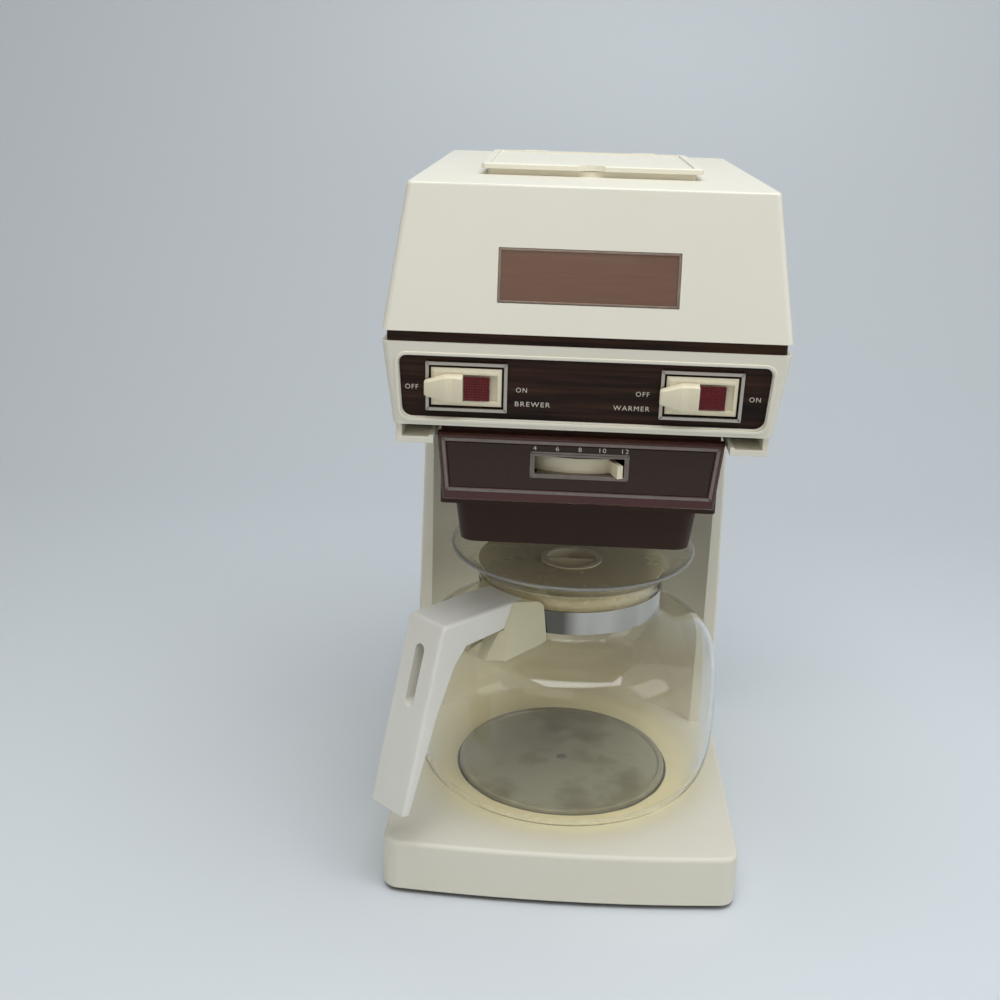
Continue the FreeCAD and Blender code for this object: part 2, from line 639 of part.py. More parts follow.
named(feature("boiler_element", hairpin()), "boiler_element")


def boiler_bracket():
    reach = float(boiler_radius)
    sheet_wall = float(d.bracket_sheet)
    y = float(boiler_y)
    stand = solid_box(-reach, reach, y - reach + 2, y + reach - 2, shell_foot, d.boiler_foot)
    under = solid_box(-reach + sheet_wall, reach - sheet_wall, y - reach, y + reach,
                      float(shell_foot) - 1, d.boiler_foot - sheet_wall)
    return stand.cut(under).cut(solid_cylinder(d.hairpin_half + d.hairpin_radius + 1.5, 8, 0, y,
                                               d.boiler_foot - 4))


named(feature("boiler_bracket", boiler_bracket()), "boiler_bracket")
fuse_cell = cylinder("fuse_cell", d.fuse_radius, d.fuse_length, boiler_radius + d.fuse_radius, boiler_y,
                     boiler_top - 40.0)
named(fuse_cell, "thermal_fuse")
tank_low = head_low + d.shell_wall + d.tank_rise
spray_top = head_low + d.shell_wall + d.spray_plate
riser_z = (head_low + d.shell_wall + tank_low) / 2
named(feature("riser_tube", tube([
    (0, boiler_y, boiler_top - d.boiler_wall), (0, boiler_y, riser_z), (0, d.tube_bend, riser_z)],
    d.tube_radius + 0.4, d.tube_radius, d.tube_bore)), "riser_tube")
named(feature("feed_tube", tube([
    (-d.feed_offset, boiler_y, tank_low), (-d.feed_offset, boiler_y, d.feed_level),
    (-boiler_radius + d.boiler_wall, boiler_y, d.feed_level)],
    d.tube_radius + 1.4, d.tube_radius, d.tube_bore)), "feed_tube")

spray_low = head_low - d.spray_drop
spray = turned("spray_head", [
    (0, spray_low), (d.spray_radius, spray_low), (d.spray_radius, spray_top - d.spray_plate),
    (d.spray_flange, spray_top - d.spray_plate), (d.spray_flange, spray_top), (d.spray_radius, spray_top),
    (d.spray_radius - 2, riser_z + d.tube_radius + 1), (0, riser_z + d.tube_radius + 1),
    (0, riser_z + d.tube_radius), (d.spray_radius - 4, riser_z + d.tube_radius),
    (d.spray_radius - 2, spray_low + d.spray_plate), (0, spray_low + d.spray_plate)])
hole_sketch = sketch_on(spray, "XY_Plane", "spray_hole", spray_low + d.spray_plate)
circle(hole_sketch, d.spray_hole, d.spray_ring)
hole_cut = pocket(spray, hole_sketch, d.spray_plate)
spray_pattern = spray.newObject("PartDesign::PolarPattern", "spray_holes")
spray_pattern.Originals = [hole_cut]
spray_pattern.Axis = (hole_sketch, ["N_Axis"])
spray_pattern.Angle = 360
bind(spray_pattern, Occurrences=d.spray_holes)
spray.Tip = spray_pattern
inlet_sketch = sketch_on(spray, "XZ_Plane", "spray_inlet", -d.spray_radius - 1)
circle(inlet_sketch, d.tube_radius + 0.02, 0, riser_z)
doc.recompute()
pocket(spray, inlet_sketch, 9.0, True)

block_x = boiler_radius + 5.0
block = box("block_case", block_x, block_x + d.block_length, boiler_y - d.block_depth / 2,
            boiler_y + d.block_depth / 2, shell_foot, shell_foot + d.block_tall)
named(block, "terminal_block")

# ---------------------------------------------------------------- head: housing, band and shroud

housing_low_level = (housing_half_low, housing_front_low, rear_face, head_low)
housing_high_level = (head_half, d.head_front, rear_face, housing_top)
band_low_level = (head_half - d.band_inset, d.head_front - d.band_inset, rear_face - d.band_inset,
                  housing_top)
band_high_level = band_low_level[:3] + (shroud_low,)
shroud_low_level = (head_half, d.head_front, rear_face, shroud_low)
shroud_high_level = (shroud_half_top, d.head_front - d.shroud_front_draft,
                     rear_face - d.shroud_rear_draft, shroud_top)
panel_tilt = math.degrees(math.atan2(float(d.housing_front_draft), float(d.housing_height)))
window_low = head_low + d.window_bottom
window_high = housing_top - d.window_top


def window_prism(margin, front, rear):
    """The control window's outline, wider at the top like the housing, run through the wall."""
    half_high = along(housing_low_level, housing_high_level, window_high)[0] - float(d.window_side)
    half_low = along(housing_low_level, housing_high_level, window_low)[0] - float(d.window_side) + 2.0
    low, high = float(window_low - margin), float(window_high + margin)
    half_high, half_low = half_high + float(margin), half_low + float(margin)
    face = polygon_face([(-half_low, -front, low), (half_low, -front, low),
                         (half_high, -front, high), (-half_high, -front, high)])
    block = face.extrude(V(0, float(front) - float(rear), 0))
    return rounded(block, d.window_corner + margin, lambda e: abs(e.tangentAt(e.FirstParameter).y) > 0.99)


def tank_post_places():
    x = float(head_half) - 30.0
    return [(sx * x, y) for sx in (-1, 1) for y in (-float(d.tank_front) + 12.0, float(rear_face) - 30.0)]


def shroud_screw_places():
    x = float(head_half) - 12.0
    return [(sx * x, y) for sx in (-1, 1) for y in (-float(d.head_front) + 18.0, float(rear_face) - 12.0)]


def lower_housing():
    outer = hopper(housing_low_level, housing_high_level, d.head_corner)
    floor_z = float(head_low + d.shell_wall)
    inner_low = inside(along(housing_low_level, housing_high_level, floor_z), d.shell_wall)
    above = along(housing_low_level, housing_high_level, float(housing_top) + 1)
    inner = hopper(inner_low[:3] + (floor_z,), inside(above, d.shell_wall), 1.0)
    shell = outer.cut(inner).cut(window_prism(0, d.head_front + 5, d.head_front - 12))
    shell = shell.cut(solid_cylinder(d.spray_radius + d.fit_play, 10, 0, 0, head_low - 1))
    pipes = solid_box(-d.feed_offset - 8, d.feed_offset + 8, boiler_y - 8, boiler_y + 8,
                      head_low - 1, head_low + 10)
    shell = shell.cut(pipes)
    for x, y in tank_post_places():
        shell = shell.fuse(solid_box(x - 4, x + 4, y - 4, y + 4, head_low + d.shell_wall - 0.5, tank_low))
    for x, y in shroud_screw_places():
        tab = solid_box(x - 5, x + 5, y - 5, y + 5, housing_top - 3, housing_top)
        if x > 0:
            tab = tab.fuse(solid_box(x, head_half, y - 5, y + 5, housing_top - 3, housing_top))
        else:
            tab = tab.fuse(solid_box(-head_half, x, y - 5, y + 5, housing_top - 3, housing_top))
        shell = shell.fuse(tab.common(outer))
        shell = shell.cut(solid_cylinder(d.screw_radius + d.fit_play, 5, x, y, housing_top - 4))
    for x, y in head_screw_places():
        shell = shell.cut(solid_cylinder(d.screw_radius + d.screw_play, 6, x, y, head_low - 1))
    return shell.removeSplitter()


named(feature("lower_housing", lower_housing()), "lower_housing")


def screw_down(name, x, y, seat, length):
    head = cylinder(name + "_head", d.screw_head, 1.6, x, y, seat)
    return fuse(name, head, cylinder(name + "_shank", d.screw_radius, length, x, y, seat - length))


named(group("housing_screws", *[screw_down(f"housing_screw_{i}", x, y, head_low + d.shell_wall, 13.0)
                                for i, (x, y) in enumerate(head_screw_places())]), "housing_screws")


def trim_band():
    outer = hopper(band_low_level, band_high_level, 1.5)
    inner = hopper(inside(band_low_level, d.band_wall), inside(band_high_level, d.band_wall))
    return outer.cut(inner)


named(feature("trim_band", trim_band()), "trim_band")
collar_half = d.lid_half - d.lid_overhang
collar_front = d.lid_front - d.lid_overhang
collar_rear = d.lid_rear - d.lid_overhang
hinge_y = d.lid_rear + d.hinge_rear
lid_low = shroud_top + d.lid_plug_tall
lid_top = lid_low + d.lid_flange
hinge_z = lid_top - d.hinge_pin - d.ear_wall
ear_places = [-d.hinge_spacing / 2, d.hinge_spacing / 2]
badge_tilt = -math.degrees(math.atan2(float(d.shroud_front_draft), float(d.shroud_height)))
badge_z = shroud_low + d.badge_rise + d.badge_tall / 2
badge_y = -(d.head_front - d.shroud_front_draft * ((badge_z - shroud_low) / d.shroud_height))
badge_frame = FreeCAD.Placement(V(0, float(badge_y), float(badge_z)),
                                FreeCAD.Rotation(V(1, 0, 0), badge_tilt))


def tilted_box(frame, x0, x1, y0, y1, z0, z1):
    block = solid_box(x0, x1, y0, y1, z0, z1)
    block.Placement = frame.multiply(block.Placement)
    return block


def upper_shroud():
    outer = hopper(shroud_low_level, shroud_high_level, d.head_corner)
    outer = rounded(outer, d.shroud_edge, lambda e: e.BoundBox.ZMin > float(shroud_top) - 0.01)
    ceiling = float(shroud_top - d.shell_wall)
    below = inside(along(shroud_low_level, shroud_high_level, float(shroud_low) - 1), d.shell_wall)
    above = inside(along(shroud_low_level, shroud_high_level, ceiling), d.shell_wall)
    shell = outer.cut(hopper(below, above))
    collar = solid_box(-collar_half, collar_half, -collar_front, collar_rear, ceiling, lid_low - d.lid_gap)
    shell = shell.fuse(rounded(collar, 1.5, upright))
    shell = shell.cut(solid_box(-collar_half + d.lid_wall, collar_half - d.lid_wall,
                                -collar_front + d.lid_wall, collar_rear - d.lid_wall,
                                ceiling - 1, lid_low + 1))
    half, tall = float(d.badge_width) / 2, float(d.badge_tall) / 2
    shell = shell.cut(tilted_box(badge_frame, -half, half, -5, d.badge_pocket, -tall, tall))
    inner_space = hopper(shroud_low_level, shroud_high_level)
    for x, y in shroud_screw_places():
        side = math.copysign(float(head_half), x)
        boss = solid_cylinder(d.boss_radius, 16, x, y, housing_top)
        rib = solid_box(min(x, side), max(x, side), y - 1, y + 1, shroud_low, float(shroud_low) + 12)
        shell = shell.fuse(boss.fuse(rib.common(inner_space)))
        shell = shell.cut(solid_cylinder(d.screw_radius + d.screw_play, 13, x, y, float(housing_top) - 1))
    for x in ear_places:
        shell = shell.fuse(hinge_ear(x))
    return shell.removeSplitter()


def hinge_ear(x):
    """An upright ear with a pin hole, standing behind the reservoir opening."""
    half = d.hinge_ear_width / 2
    reach = float(d.hinge_pin + d.ear_wall)
    ear = solid_box(x - half, x + half, hinge_y - reach, hinge_y + reach, shroud_top - 1, hinge_z)
    crown = Part.makeCylinder(reach, float(d.hinge_ear_width),
                              V(float(x - half), float(hinge_y), float(hinge_z)), V(1, 0, 0))
    hole = Part.makeCylinder(float(d.hinge_pin), float(d.hinge_ear_width) + 2,
                             V(float(x - half) - 1, float(hinge_y), float(hinge_z)), V(1, 0, 0))
    return ear.fuse(crown).cut(hole)


named(feature("upper_shroud", upper_shroud()), "upper_shroud")


def screw_up(name, x, y, seat, length):
    head = cylinder(name + "_head", d.screw_head, 1.6, x, y, seat - 1.6)
    return fuse(name, head, cylinder(name + "_shank", d.screw_radius, length, x, y, seat))


named(group("shroud_screws", *[screw_up(f"shroud_screw_{i}", x, y, housing_top - 3.0, 14.0)
                               for i, (x, y) in enumerate(shroud_screw_places())]), "shroud_screws")

badge = new_body("name_plate")
badge_sketch = sketch_on(badge, "XZ_Plane", "name_plate_plan", -(d.badge_pocket - d.badge_sheet))
badge_half, badge_mid = d.badge_width / 2 - d.badge_play, d.badge_tall / 2 - d.badge_play
rectangle(badge_sketch, -badge_half, badge_half, -badge_mid, badge_mid)
pad(badge, badge_sketch, d.badge_sheet, True)
badge.Placement = badge_frame

# ---------------------------------------------------------------- control panel and switches

switch_z = head_low + d.switch_rise
panel_y = (d.shell_wall + d.panel_play
           - (housing_front_low + d.housing_front_draft * (d.switch_rise / d.housing_height)))
panel_frame = FreeCAD.Placement(V(0, float(panel_y), float(switch_z)),
                                FreeCAD.Rotation(V(1, 0, 0), panel_tilt))


def control_panel():
    sheet_slab = tilted_box(panel_frame, -150, 150, 0, d.panel_sheet, -40, 40)
    panel = window_prism(d.panel_margin, d.head_front + 5, d.head_front - 14).common(sheet_slab)
    panel = panel.common(solid_box(-150, 150, -150, 0, head_low + d.shell_wall, housing_top))
    for side in (-1, 1):
        x = side * float(switch_offset)
        half = float(d.plate_width) / 2 - float(d.panel_hole_margin)
        tall = float(d.plate_tall) / 2 - float(d.panel_hole_margin)
        panel = panel.cut(tilted_box(panel_frame, x - half, x + half, -5, 10, -tall, tall))
    return panel


named(feature("control_panel", control_panel()), "control_panel")


def switch_body_piece(label, side, outline_maker, front, depth, hole_maker=None):
    """A plate in the panel's plane, its front face standing out by the given depth."""
    body = new_body(label)
    sketch = sketch_on(body, "XZ_Plane", label + "_plan", front)
    outline_maker(sketch)
    if hole_maker is not None:
        hole_maker(sketch)
    pad(body, sketch, depth, True)
    centre = V(side * float(switch_offset), 0, 0)
    body.Placement = panel_frame.multiply(FreeCAD.Placement(centre, FreeCAD.Rotation()))
    return body


def centred(width, tall):
    return lambda sketch: rectangle(sketch, -width / 2, width / 2, -tall / 2, tall / 2)


lens_right = d.lens_width - d.lens_left
slot_left = -(d.lens_left + d.foot_length + d.carriage_play)
slot_right = lens_right + d.switch_travel + d.carriage_play
slot_up = d.lens_tall / 2 + d.carriage_play


def carriage_slot(sketch):
    rectangle(sketch, slot_left, slot_right, -slot_up, slot_up)


def knob_head(sketch):
    root, shoulder = -d.lens_left - 0.05, -d.lens_left - d.knob_shoulder
    tip = -d.lens_left - d.knob_length
    outline(sketch, [(tip, -d.knob_tip / 2), (shoulder, -d.knob_tall / 2), (root, -d.knob_tall / 2),
                     (root, d.knob_tall / 2), (shoulder, d.knob_tall / 2), (tip, d.knob_tip / 2)])


def knob_foot(sketch):
    rectangle(sketch, -d.lens_left - d.foot_length, -d.lens_left - 0.05, -d.lens_tall / 2, d.lens_tall / 2)


def lens_face(sketch):
    rectangle(sketch, -d.lens_left, lens_right, -d.lens_tall / 2, d.lens_tall / 2)


for prefix, side in (("brewer", -1), ("warmer", 1)):
    rim = d.frame_rim * 2
    switch_body_piece(prefix + "_switch_frame", side, centred(d.frame_width, d.frame_tall),
                      d.frame_proud, d.frame_proud,
                      centred(d.frame_width - rim, d.frame_tall - rim))
    switch_body_piece(prefix + "_switch_plate", side, centred(d.plate_width, d.plate_tall),
                      d.plate_proud, d.plate_proud, carriage_slot)
    knob = switch_body_piece(prefix + "_switch_knob", side, knob_head, d.knob_proud,
                             d.knob_proud - d.plate_proud - d.carriage_play)
    foot_sketch = sketch_on(knob, "XZ_Plane", prefix + "_knob_foot", d.plate_proud + d.carriage_play)
    knob_foot(foot_sketch)
    pad(knob, foot_sketch, d.plate_proud + d.carriage_play + d.foot_depth, True)
    switch_body_piece(prefix + "_lens", side, lens_face, d.lens_proud, d.lens_proud + d.foot_depth)
    case = switch_body_piece(prefix + "_switch_case", side, centred(d.switch_case_width, d.switch_case_tall),
                             -d.panel_sheet, d.switch_depth)
    cavity = sketch_on(case, "XZ_Plane", prefix + "_case_cavity", -d.panel_sheet)
    carriage_slot(cavity)
    pocket(case, cavity, d.foot_depth - d.panel_sheet + d.carriage_play)

# ---------------------------------------------------------------- basket rails

rails = []
for side in (-1, 1):
    rail_low = head_low - d.rail_depth
    spans = (("wall", d.rail_wall, rail_low, head_low),
             ("lip", d.rail_lip, rail_low, rail_low + d.rail_lip_sheet))
    pieces = []
    for part, width, low, high in spans:
        inner = rail_half - width
        x0, x1 = (inner, rail_half) if side > 0 else (-rail_half, -inner)
        pieces.append(box(f"rail_{part}_{side}", x0, x1, -d.rail_front, d.column_face - d.fit_play,
                          low, high))
    bead_low = rail_low + d.rail_lip_sheet / 2
    bead_x = rail_half - d.rail_lip
    x0, x1 = (bead_x, bead_x + 2) if side > 0 else (-bead_x - 2, -bead_x)
    pieces.append(box(f"rail_bead_{side}", x0, x1, -d.rail_front, d.column_face - d.fit_play, bead_low,
                      rail_low + d.rail_lip_sheet + d.rail_bead))
    rails.append(fuse(f"rail_{side}", *pieces))
named(group("basket_rails", *rails), "basket_rails")

# ---------------------------------------------------------------- brew basket

step_z = basket_low + d.basket_step
lever_y = -(d.basket_front_face - d.basket_wall) + d.lever_radius - d.hub_set_back
lever_low = drawer_low + d.slot_low - d.lever_sink


def basket_body():
    wall = float(d.basket_wall)
    upper = solid_box(-basket_half, basket_half, -d.basket_front_face, d.basket_rear, step_z, basket_top)
    upper = rounded(upper, 2.0, upright)
    low_level = (basket_half - d.basket_low_inset - d.basket_low_draft, d.basket_low_front,
                 d.basket_low_rear, basket_low)
    high_level = (basket_half - d.basket_low_inset, float(d.basket_low_front) + 2.0,
                  float(d.basket_rear) - 2.0, step_z)
    lower = hopper(low_level, high_level, d.basket_corner)
    flange = solid_box(-flange_half, flange_half, -float(d.basket_front_face) + 5, d.basket_rear,
                       basket_top - d.flange_sheet, basket_top)
    basket = upper.fuse(lower).fuse(flange)
    chamber_front = float(d.partition_face) - wall
    chamber = solid_box(-basket_half + wall, basket_half - wall, -chamber_front, d.basket_rear - wall,
                        step_z - 1, basket_top + 1)
    floor_z = basket_low + wall
    funnel = hopper(inside(along(low_level, high_level, floor_z), wall),
                    inside(along(low_level, high_level, step_z), wall), float(d.basket_corner) - wall)
    pocket_front = solid_box(-basket_half + wall, basket_half - wall, -d.basket_front_face + wall,
                             -d.partition_face, step_z + wall, basket_top + 1)
    basket = basket.cut(chamber).cut(funnel).cut(pocket_front)
    basket = basket.cut(solid_cylinder(d.outlet_radius, 6, 0, 0, basket_low - 1))
    slot_low = float(lever_low) - 0.4
    slot_high = float(drawer_low + d.slot_low + d.slot_tall)
    basket = basket.cut(solid_box(-d.slot_half, d.slot_half, -float(d.basket_front_face) - 1,
                                  -float(d.basket_front_face) + wall + 1, slot_low, slot_high))
    boss = solid_cylinder(d.hub_radius, lever_low - step_z - wall - d.lever_play + 0.5, 0, lever_y,
                          step_z + wall - 0.5)
    basket = basket.fuse(boss).cut(solid_cylinder(d.pin_radius, 20, 0, lever_y, step_z + wall))
    return basket.removeSplitter()


named(feature("basket_body", basket_body()), "basket_body")

drawer_tilt = math.degrees(math.atan2(float(d.drawer_lean), float(d.drawer_tall)))
drawer_high = drawer_low + d.drawer_tall
drawer_mid_y = -(d.basket_front_face + d.drawer_thick - d.drawer_lean / 2)
drawer_frame = FreeCAD.Placement(V(0, float(drawer_mid_y), float(drawer_low)),
                                 FreeCAD.Rotation(V(1, 0, 0), drawer_tilt))
drawer_frame.Base.y += float(d.drawer_lean) / 2


def trapezoid(low_half, high_half, low, high, front, rear):
    corners = [(-low_half, low), (low_half, low), (high_half, high), (-high_half, high)]
    face = polygon_face([(float(x), float(front), float(z)) for x, z in corners])
    return face.extrude(V(0, float(rear) - float(front), 0))


def drawer_half(level, margin):
    """The front's half width at a height above its lower edge, less a margin."""
    share = float(level) / float(d.drawer_tall)
    return float(drawer_half_top) - float(d.drawer_taper) * (1 - share) - float(margin)


inset_low, inset_high = d.inset_low_margin, d.drawer_tall - d.inset_margin


def drawer_window(margin, front, rear):
    side = d.inset_margin + margin
    block = trapezoid(drawer_half(inset_low, side), drawer_half(inset_high, side),
                      inset_low + margin, inset_high - margin, front, rear)
    block.Placement = drawer_frame
    return block


def drawer_slot(margin, front, rear):
    half = float(d.slot_half) - float(margin)
    return tilted_box(drawer_frame, -half, half, front, rear, d.slot_low + margin,
                      d.slot_low + d.slot_tall - margin)


def basket_front():
    outline_block = trapezoid(drawer_half(0, 0), drawer_half(d.drawer_tall, 0), drawer_low, drawer_high,
                              -float(d.basket_front_face) - 12, -float(d.basket_front_face))
    slab = tilted_box(drawer_frame, -100, 100, 0, 30, -10, float(d.drawer_tall) + 10)
    front = outline_block.common(slab)
    front_face = max(front.Faces, key=lambda face: -face.CenterOfMass.y)
    front = front.makeChamfer(float(d.drawer_chamfer), front_face.Edges)
    return front.cut(drawer_window(0, -5, d.inset_pocket)).cut(drawer_slot(0, -5, 12))


named(feature("basket_front", basket_front()), "basket_front")
named(feature("basket_inset", drawer_window(d.fit_play, d.inset_pocket - d.inset_sheet, d.inset_pocket)
              .cut(drawer_slot(0, -5, 12))), "basket_inset")
slot_play = 0.1
named(feature("slot_frame", drawer_slot(slot_play, d.inset_pocket - d.inset_sheet - 0.5, d.slot_depth)
              .cut(drawer_slot(d.slot_rim, -5, 12))), "slot_frame")


def polar(radius, degrees):
    """A plan point about the lever's pin; zero degrees faces the front."""
    turn = math.radians(degrees)
    return V(float(radius) * math.sin(turn), float(lever_y) - float(radius) * math.cos(turn), 0)


def sector(outer, inner, start, end, low, height):
    """A flat ring sector about the lever's pin."""
    middle = (start + end) / 2
    edges = [Part.Arc(polar(outer, start), polar(outer, middle), polar(outer, end)).toShape(),
             Part.makeLine(polar(outer, end), polar(inner, end)),
             Part.Arc(polar(inner, end), polar(inner, middle), polar(inner, start)).toShape(),
             Part.makeLine(polar(inner, start), polar(outer, start))]
    shape = Part.Face(Part.Wire(edges)).extrude(V(0, 0, float(height)))
    shape.translate(V(0, 0, float(low)))
    return shape


def saver_lever():
    tab_turn = float(d.lever_half_travel)
    band_in = d.lever_radius - d.lever_band
    arm = sector(band_in, 3.0, -float(d.lever_tail), tab_turn, lever_low, d.lever_sheet)
    hub = solid_cylinder(d.hub_radius, d.hub_tall, 0, lever_y, lever_low)
    band = sector(d.lever_radius, band_in, -float(d.lever_tail), tab_turn, lever_low + d.lever_sheet,
                  d.lever_band_tall)
    reach = float(d.lever_radius + d.lever_tab_reach)
    tab = Part.makeBox(float(d.lever_tab_thick), reach - float(band_in), float(d.lever_band_tall) - 1.0,
                       V(-float(d.lever_tab_thick) / 2, -reach, 0))
    tab.Placement = FreeCAD.Placement(V(0, float(lever_y), float(lever_low + d.lever_sheet) + 0.5),
                                      FreeCAD.Rotation(V(0, 0, 1), tab_turn))
    root = sector(band_in + 0.3, band_in - 1.5, -float(d.lever_tail), tab_turn, lever_low,
                  float(d.lever_sheet) + 1.5)
    lever = arm.fuse(hub).fuse(band).fuse(root).fuse(tab)
    bore = solid_cylinder(d.pin_radius + d.pin_play, 30, 0, lever_y, float(lever_low) - 5)
    return lever.cut(bore).removeSplitter()


named(feature("saver_lever", saver_lever()), "saver_lever")
pin_top = lever_low + d.hub_tall + d.clip_sheet + d.pin_proud
named(cylinder("lever_pin", d.pin_radius, pin_top - step_z - d.basket_wall, 0, lever_y,
               step_z + d.basket_wall), "lever_pivot_pin")
named(ring("lever_clip_ring", d.clip_radius, d.pin_radius, d.clip_sheet, 0, lever_y,
           lever_low + d.hub_tall + d.lever_play),
      "lever_clip")

# ---------------------------------------------------------------- carafe

GLASS_OUTLINE = [
    # radius less the widest radius, height above the foot, the way the surface faces in degrees
    ("arc", -6.3, 3.2, -50), ("end", -2.2, 11.0, -8),
    ("arc", 0.0, 41.0, 0), ("end", -2.2, 70.5, 10),
    ("arc", -5.2, 79.6, 38), ("end", -13.1, 85.2, 72),
]
foot_flat = d.glass_radius - 14.6


def glass_points(inset):
    """The outline's points in order, each moved inwards along its own normal."""
    neck = float(d.neck_radius)
    points = [("start", float(foot_flat), 0.0, -90)]
    points += [(kind, float(d.glass_radius) + r, z, turn) for kind, r, z, turn in GLASS_OUTLINE]
    fall = 72
    shoulder_end = float(d.shoulder_height) + 4.4
    points += [("line", neck + 6.3, shoulder_end, fall), ("arc", neck + 1.7, float(d.neck_low) - 2.9, 40),
               ("end", neck, float(d.neck_low), 0), ("line", neck, float(d.neck_high), 0),
               ("arc", neck + 4.4, float(d.neck_high) + 9.6, -42),
               ("end", float(d.rim_radius), float(d.rim_height), -55)]
    moved = []
    for kind, r, z, turn in points:
        normal = math.radians(turn)
        moved.append((kind, V(r - inset * math.cos(normal), 0,
                              float(glass_foot) + z - inset * math.sin(normal))))
    return moved


def glass_edges(inset):
    points = glass_points(inset)
    edges = []
    here = points[0][1]
    middle = None
    for kind, spot in points[1:]:
        if kind == "arc":
            middle = spot
            continue
        if middle is None:
            edges.append(Part.makeLine(here, spot))
        else:
            edges.append(Part.Arc(here, middle, spot).toShape())
        here, middle = spot, None
    return edges, points[0][1], here


def glass_solid(inset, top_extra=0.0):
    """The carafe's outside as a filled solid, drawn in by the inset."""
    edges, foot, rim = glass_edges(inset)
    high = V(rim.x, 0, rim.z + top_extra)
    if top_extra > 0:
        edges.append(Part.makeLine(rim, high))
    edges.append(Part.makeLine(high, V(0, 0, high.z)))
    edges.append(Part.makeLine(V(0, 0, high.z), V(0, 0, foot.z)))
    edges.append(Part.makeLine(V(0, 0, foot.z), foot))
    return Part.Face(Part.Wire(edges)).revolve(V(0, 0, 0), V(0, 0, 1), 360)


def carafe_glass():
    jug = glass_solid(0).cut(glass_solid(float(d.glass_wall), 10.0))
    bead_r = float(d.rim_radius) - float(d.rim_bead) * 0.6
    bead_z = float(glass_foot + d.rim_height)
    bead = Part.makeTorus(bead_r, float(d.rim_bead), V(0, 0, bead_z))
    return jug.fuse(bead)


named(feature("carafe_glass", carafe_glass()), "carafe_glass")
band_low = glass_foot + d.neck_low
band_in = d.neck_radius + d.band_gap
handle_place = FreeCAD.Placement(V(0, 0, 0), FreeCAD.Rotation(V(0, 0, 1), float(d.handle_turn)))


def turned_out(shape):
    """Turns a shape drawn along +X to the handle's side."""
    shape.Placement = handle_place.multiply(shape.Placement)
    return shape


lug_low = glass_foot + d.arm_low - d.lug_sheet - d.lug_play
screw_well = d.screw_head + d.fit_play


def carafe_band():
    band = solid_cylinder(band_in + d.band_sheet, d.neck_high - d.neck_low, 0, 0, band_low)
    lug = solid_box(float(band_in), d.lug_reach, -d.lug_half, d.lug_half, lug_low, lug_low + d.lug_sheet)
    band = band.fuse(lug).cut(solid_cylinder(band_in, 40, 0, 0, float(band_low) - 5))
    band = band.cut(solid_cylinder(d.screw_radius + d.fit_play, 10, d.handle_screw_reach, 0, lug_low - 5))
    return turned_out(band)


named(feature("carafe_band", carafe_band()), "carafe_band")


def side_profile(points, half):
    """Extrudes an upright outline of (reach, height above the glass foot) to both sides."""
    corners = [V(float(x), -float(half), float(glass_foot) + float(z)) for x, z in points]
    return Part.Face(Part.makePolygon(corners + corners[:1])).extrude(V(0, 2 * float(half), 0))


glass_clear = glass_solid(-float(d.glass_play), 0.0)
band_clear = solid_cylinder(band_in + d.band_sheet + d.lug_play, float(d.neck_high - d.neck_low) + 1.0,
                            0, 0, float(band_low) - 0.5)
lug_clear = solid_box(40, d.lug_reach + d.lug_play, -d.lug_half - d.lug_play, d.lug_half + d.lug_play,
                      lug_low - d.lug_play, lug_low + d.lug_sheet + d.lug_play)


def carafe_handle():
    foot_in = d.grip_foot_reach - d.grip_foot_thick
    neck_in = d.grip_neck_reach
    bar = side_profile([
        (45.0, d.arm_low), (45.0, d.arm_top), (d.corner_reach - 1.5, d.arm_top),
        (d.corner_reach + 1.0, d.arm_top - 2.5), (d.grip_foot_reach, d.grip_foot),
        (foot_in, d.grip_foot - 1.0), (d.grip_neck_reach + d.grip_thick, 68.0),
        (neck_in, d.grip_neck), (neck_in - 7.0, d.grip_neck + 8.0), (d.arm_foot, d.arm_low)],
        d.handle_half)
    long_edges = [e for e in bar.Edges if abs(e.CenterOfMass.y) > float(d.handle_half) - 0.01
                  and e.CenterOfMass.x > 60]
    bar = bar.makeFillet(float(d.handle_round) * 0.7, long_edges)
    top, bottom = float(d.slot_top), float(d.slot_bottom)
    half = float(d.finger_slot) / 2
    slot = solid_box(60, 150, -half, half, float(glass_foot) + bottom, float(glass_foot) + top)
    for z in (bottom, top):
        slot = slot.fuse(Part.makeCylinder(half, 90, V(60, 0, float(glass_foot) + z), V(1, 0, 0)))
    reach_box = solid_box(88, 150, -20, 20, float(glass_foot) + bottom - half - 1,
                          float(glass_foot) + top + half + 1)
    bar = bar.cut(slot.common(reach_box))
    bar = bar.cut(solid_cylinder(d.screw_radius + d.screw_play, 11, d.handle_screw_reach, 0,
                                 float(glass_foot + d.arm_low) - 1))
    bar = bar.cut(lug_clear)
    bar = turned_out(bar)
    return bar.cut(glass_clear).cut(band_clear)


named(feature("carafe_handle", carafe_handle()), "carafe_handle")


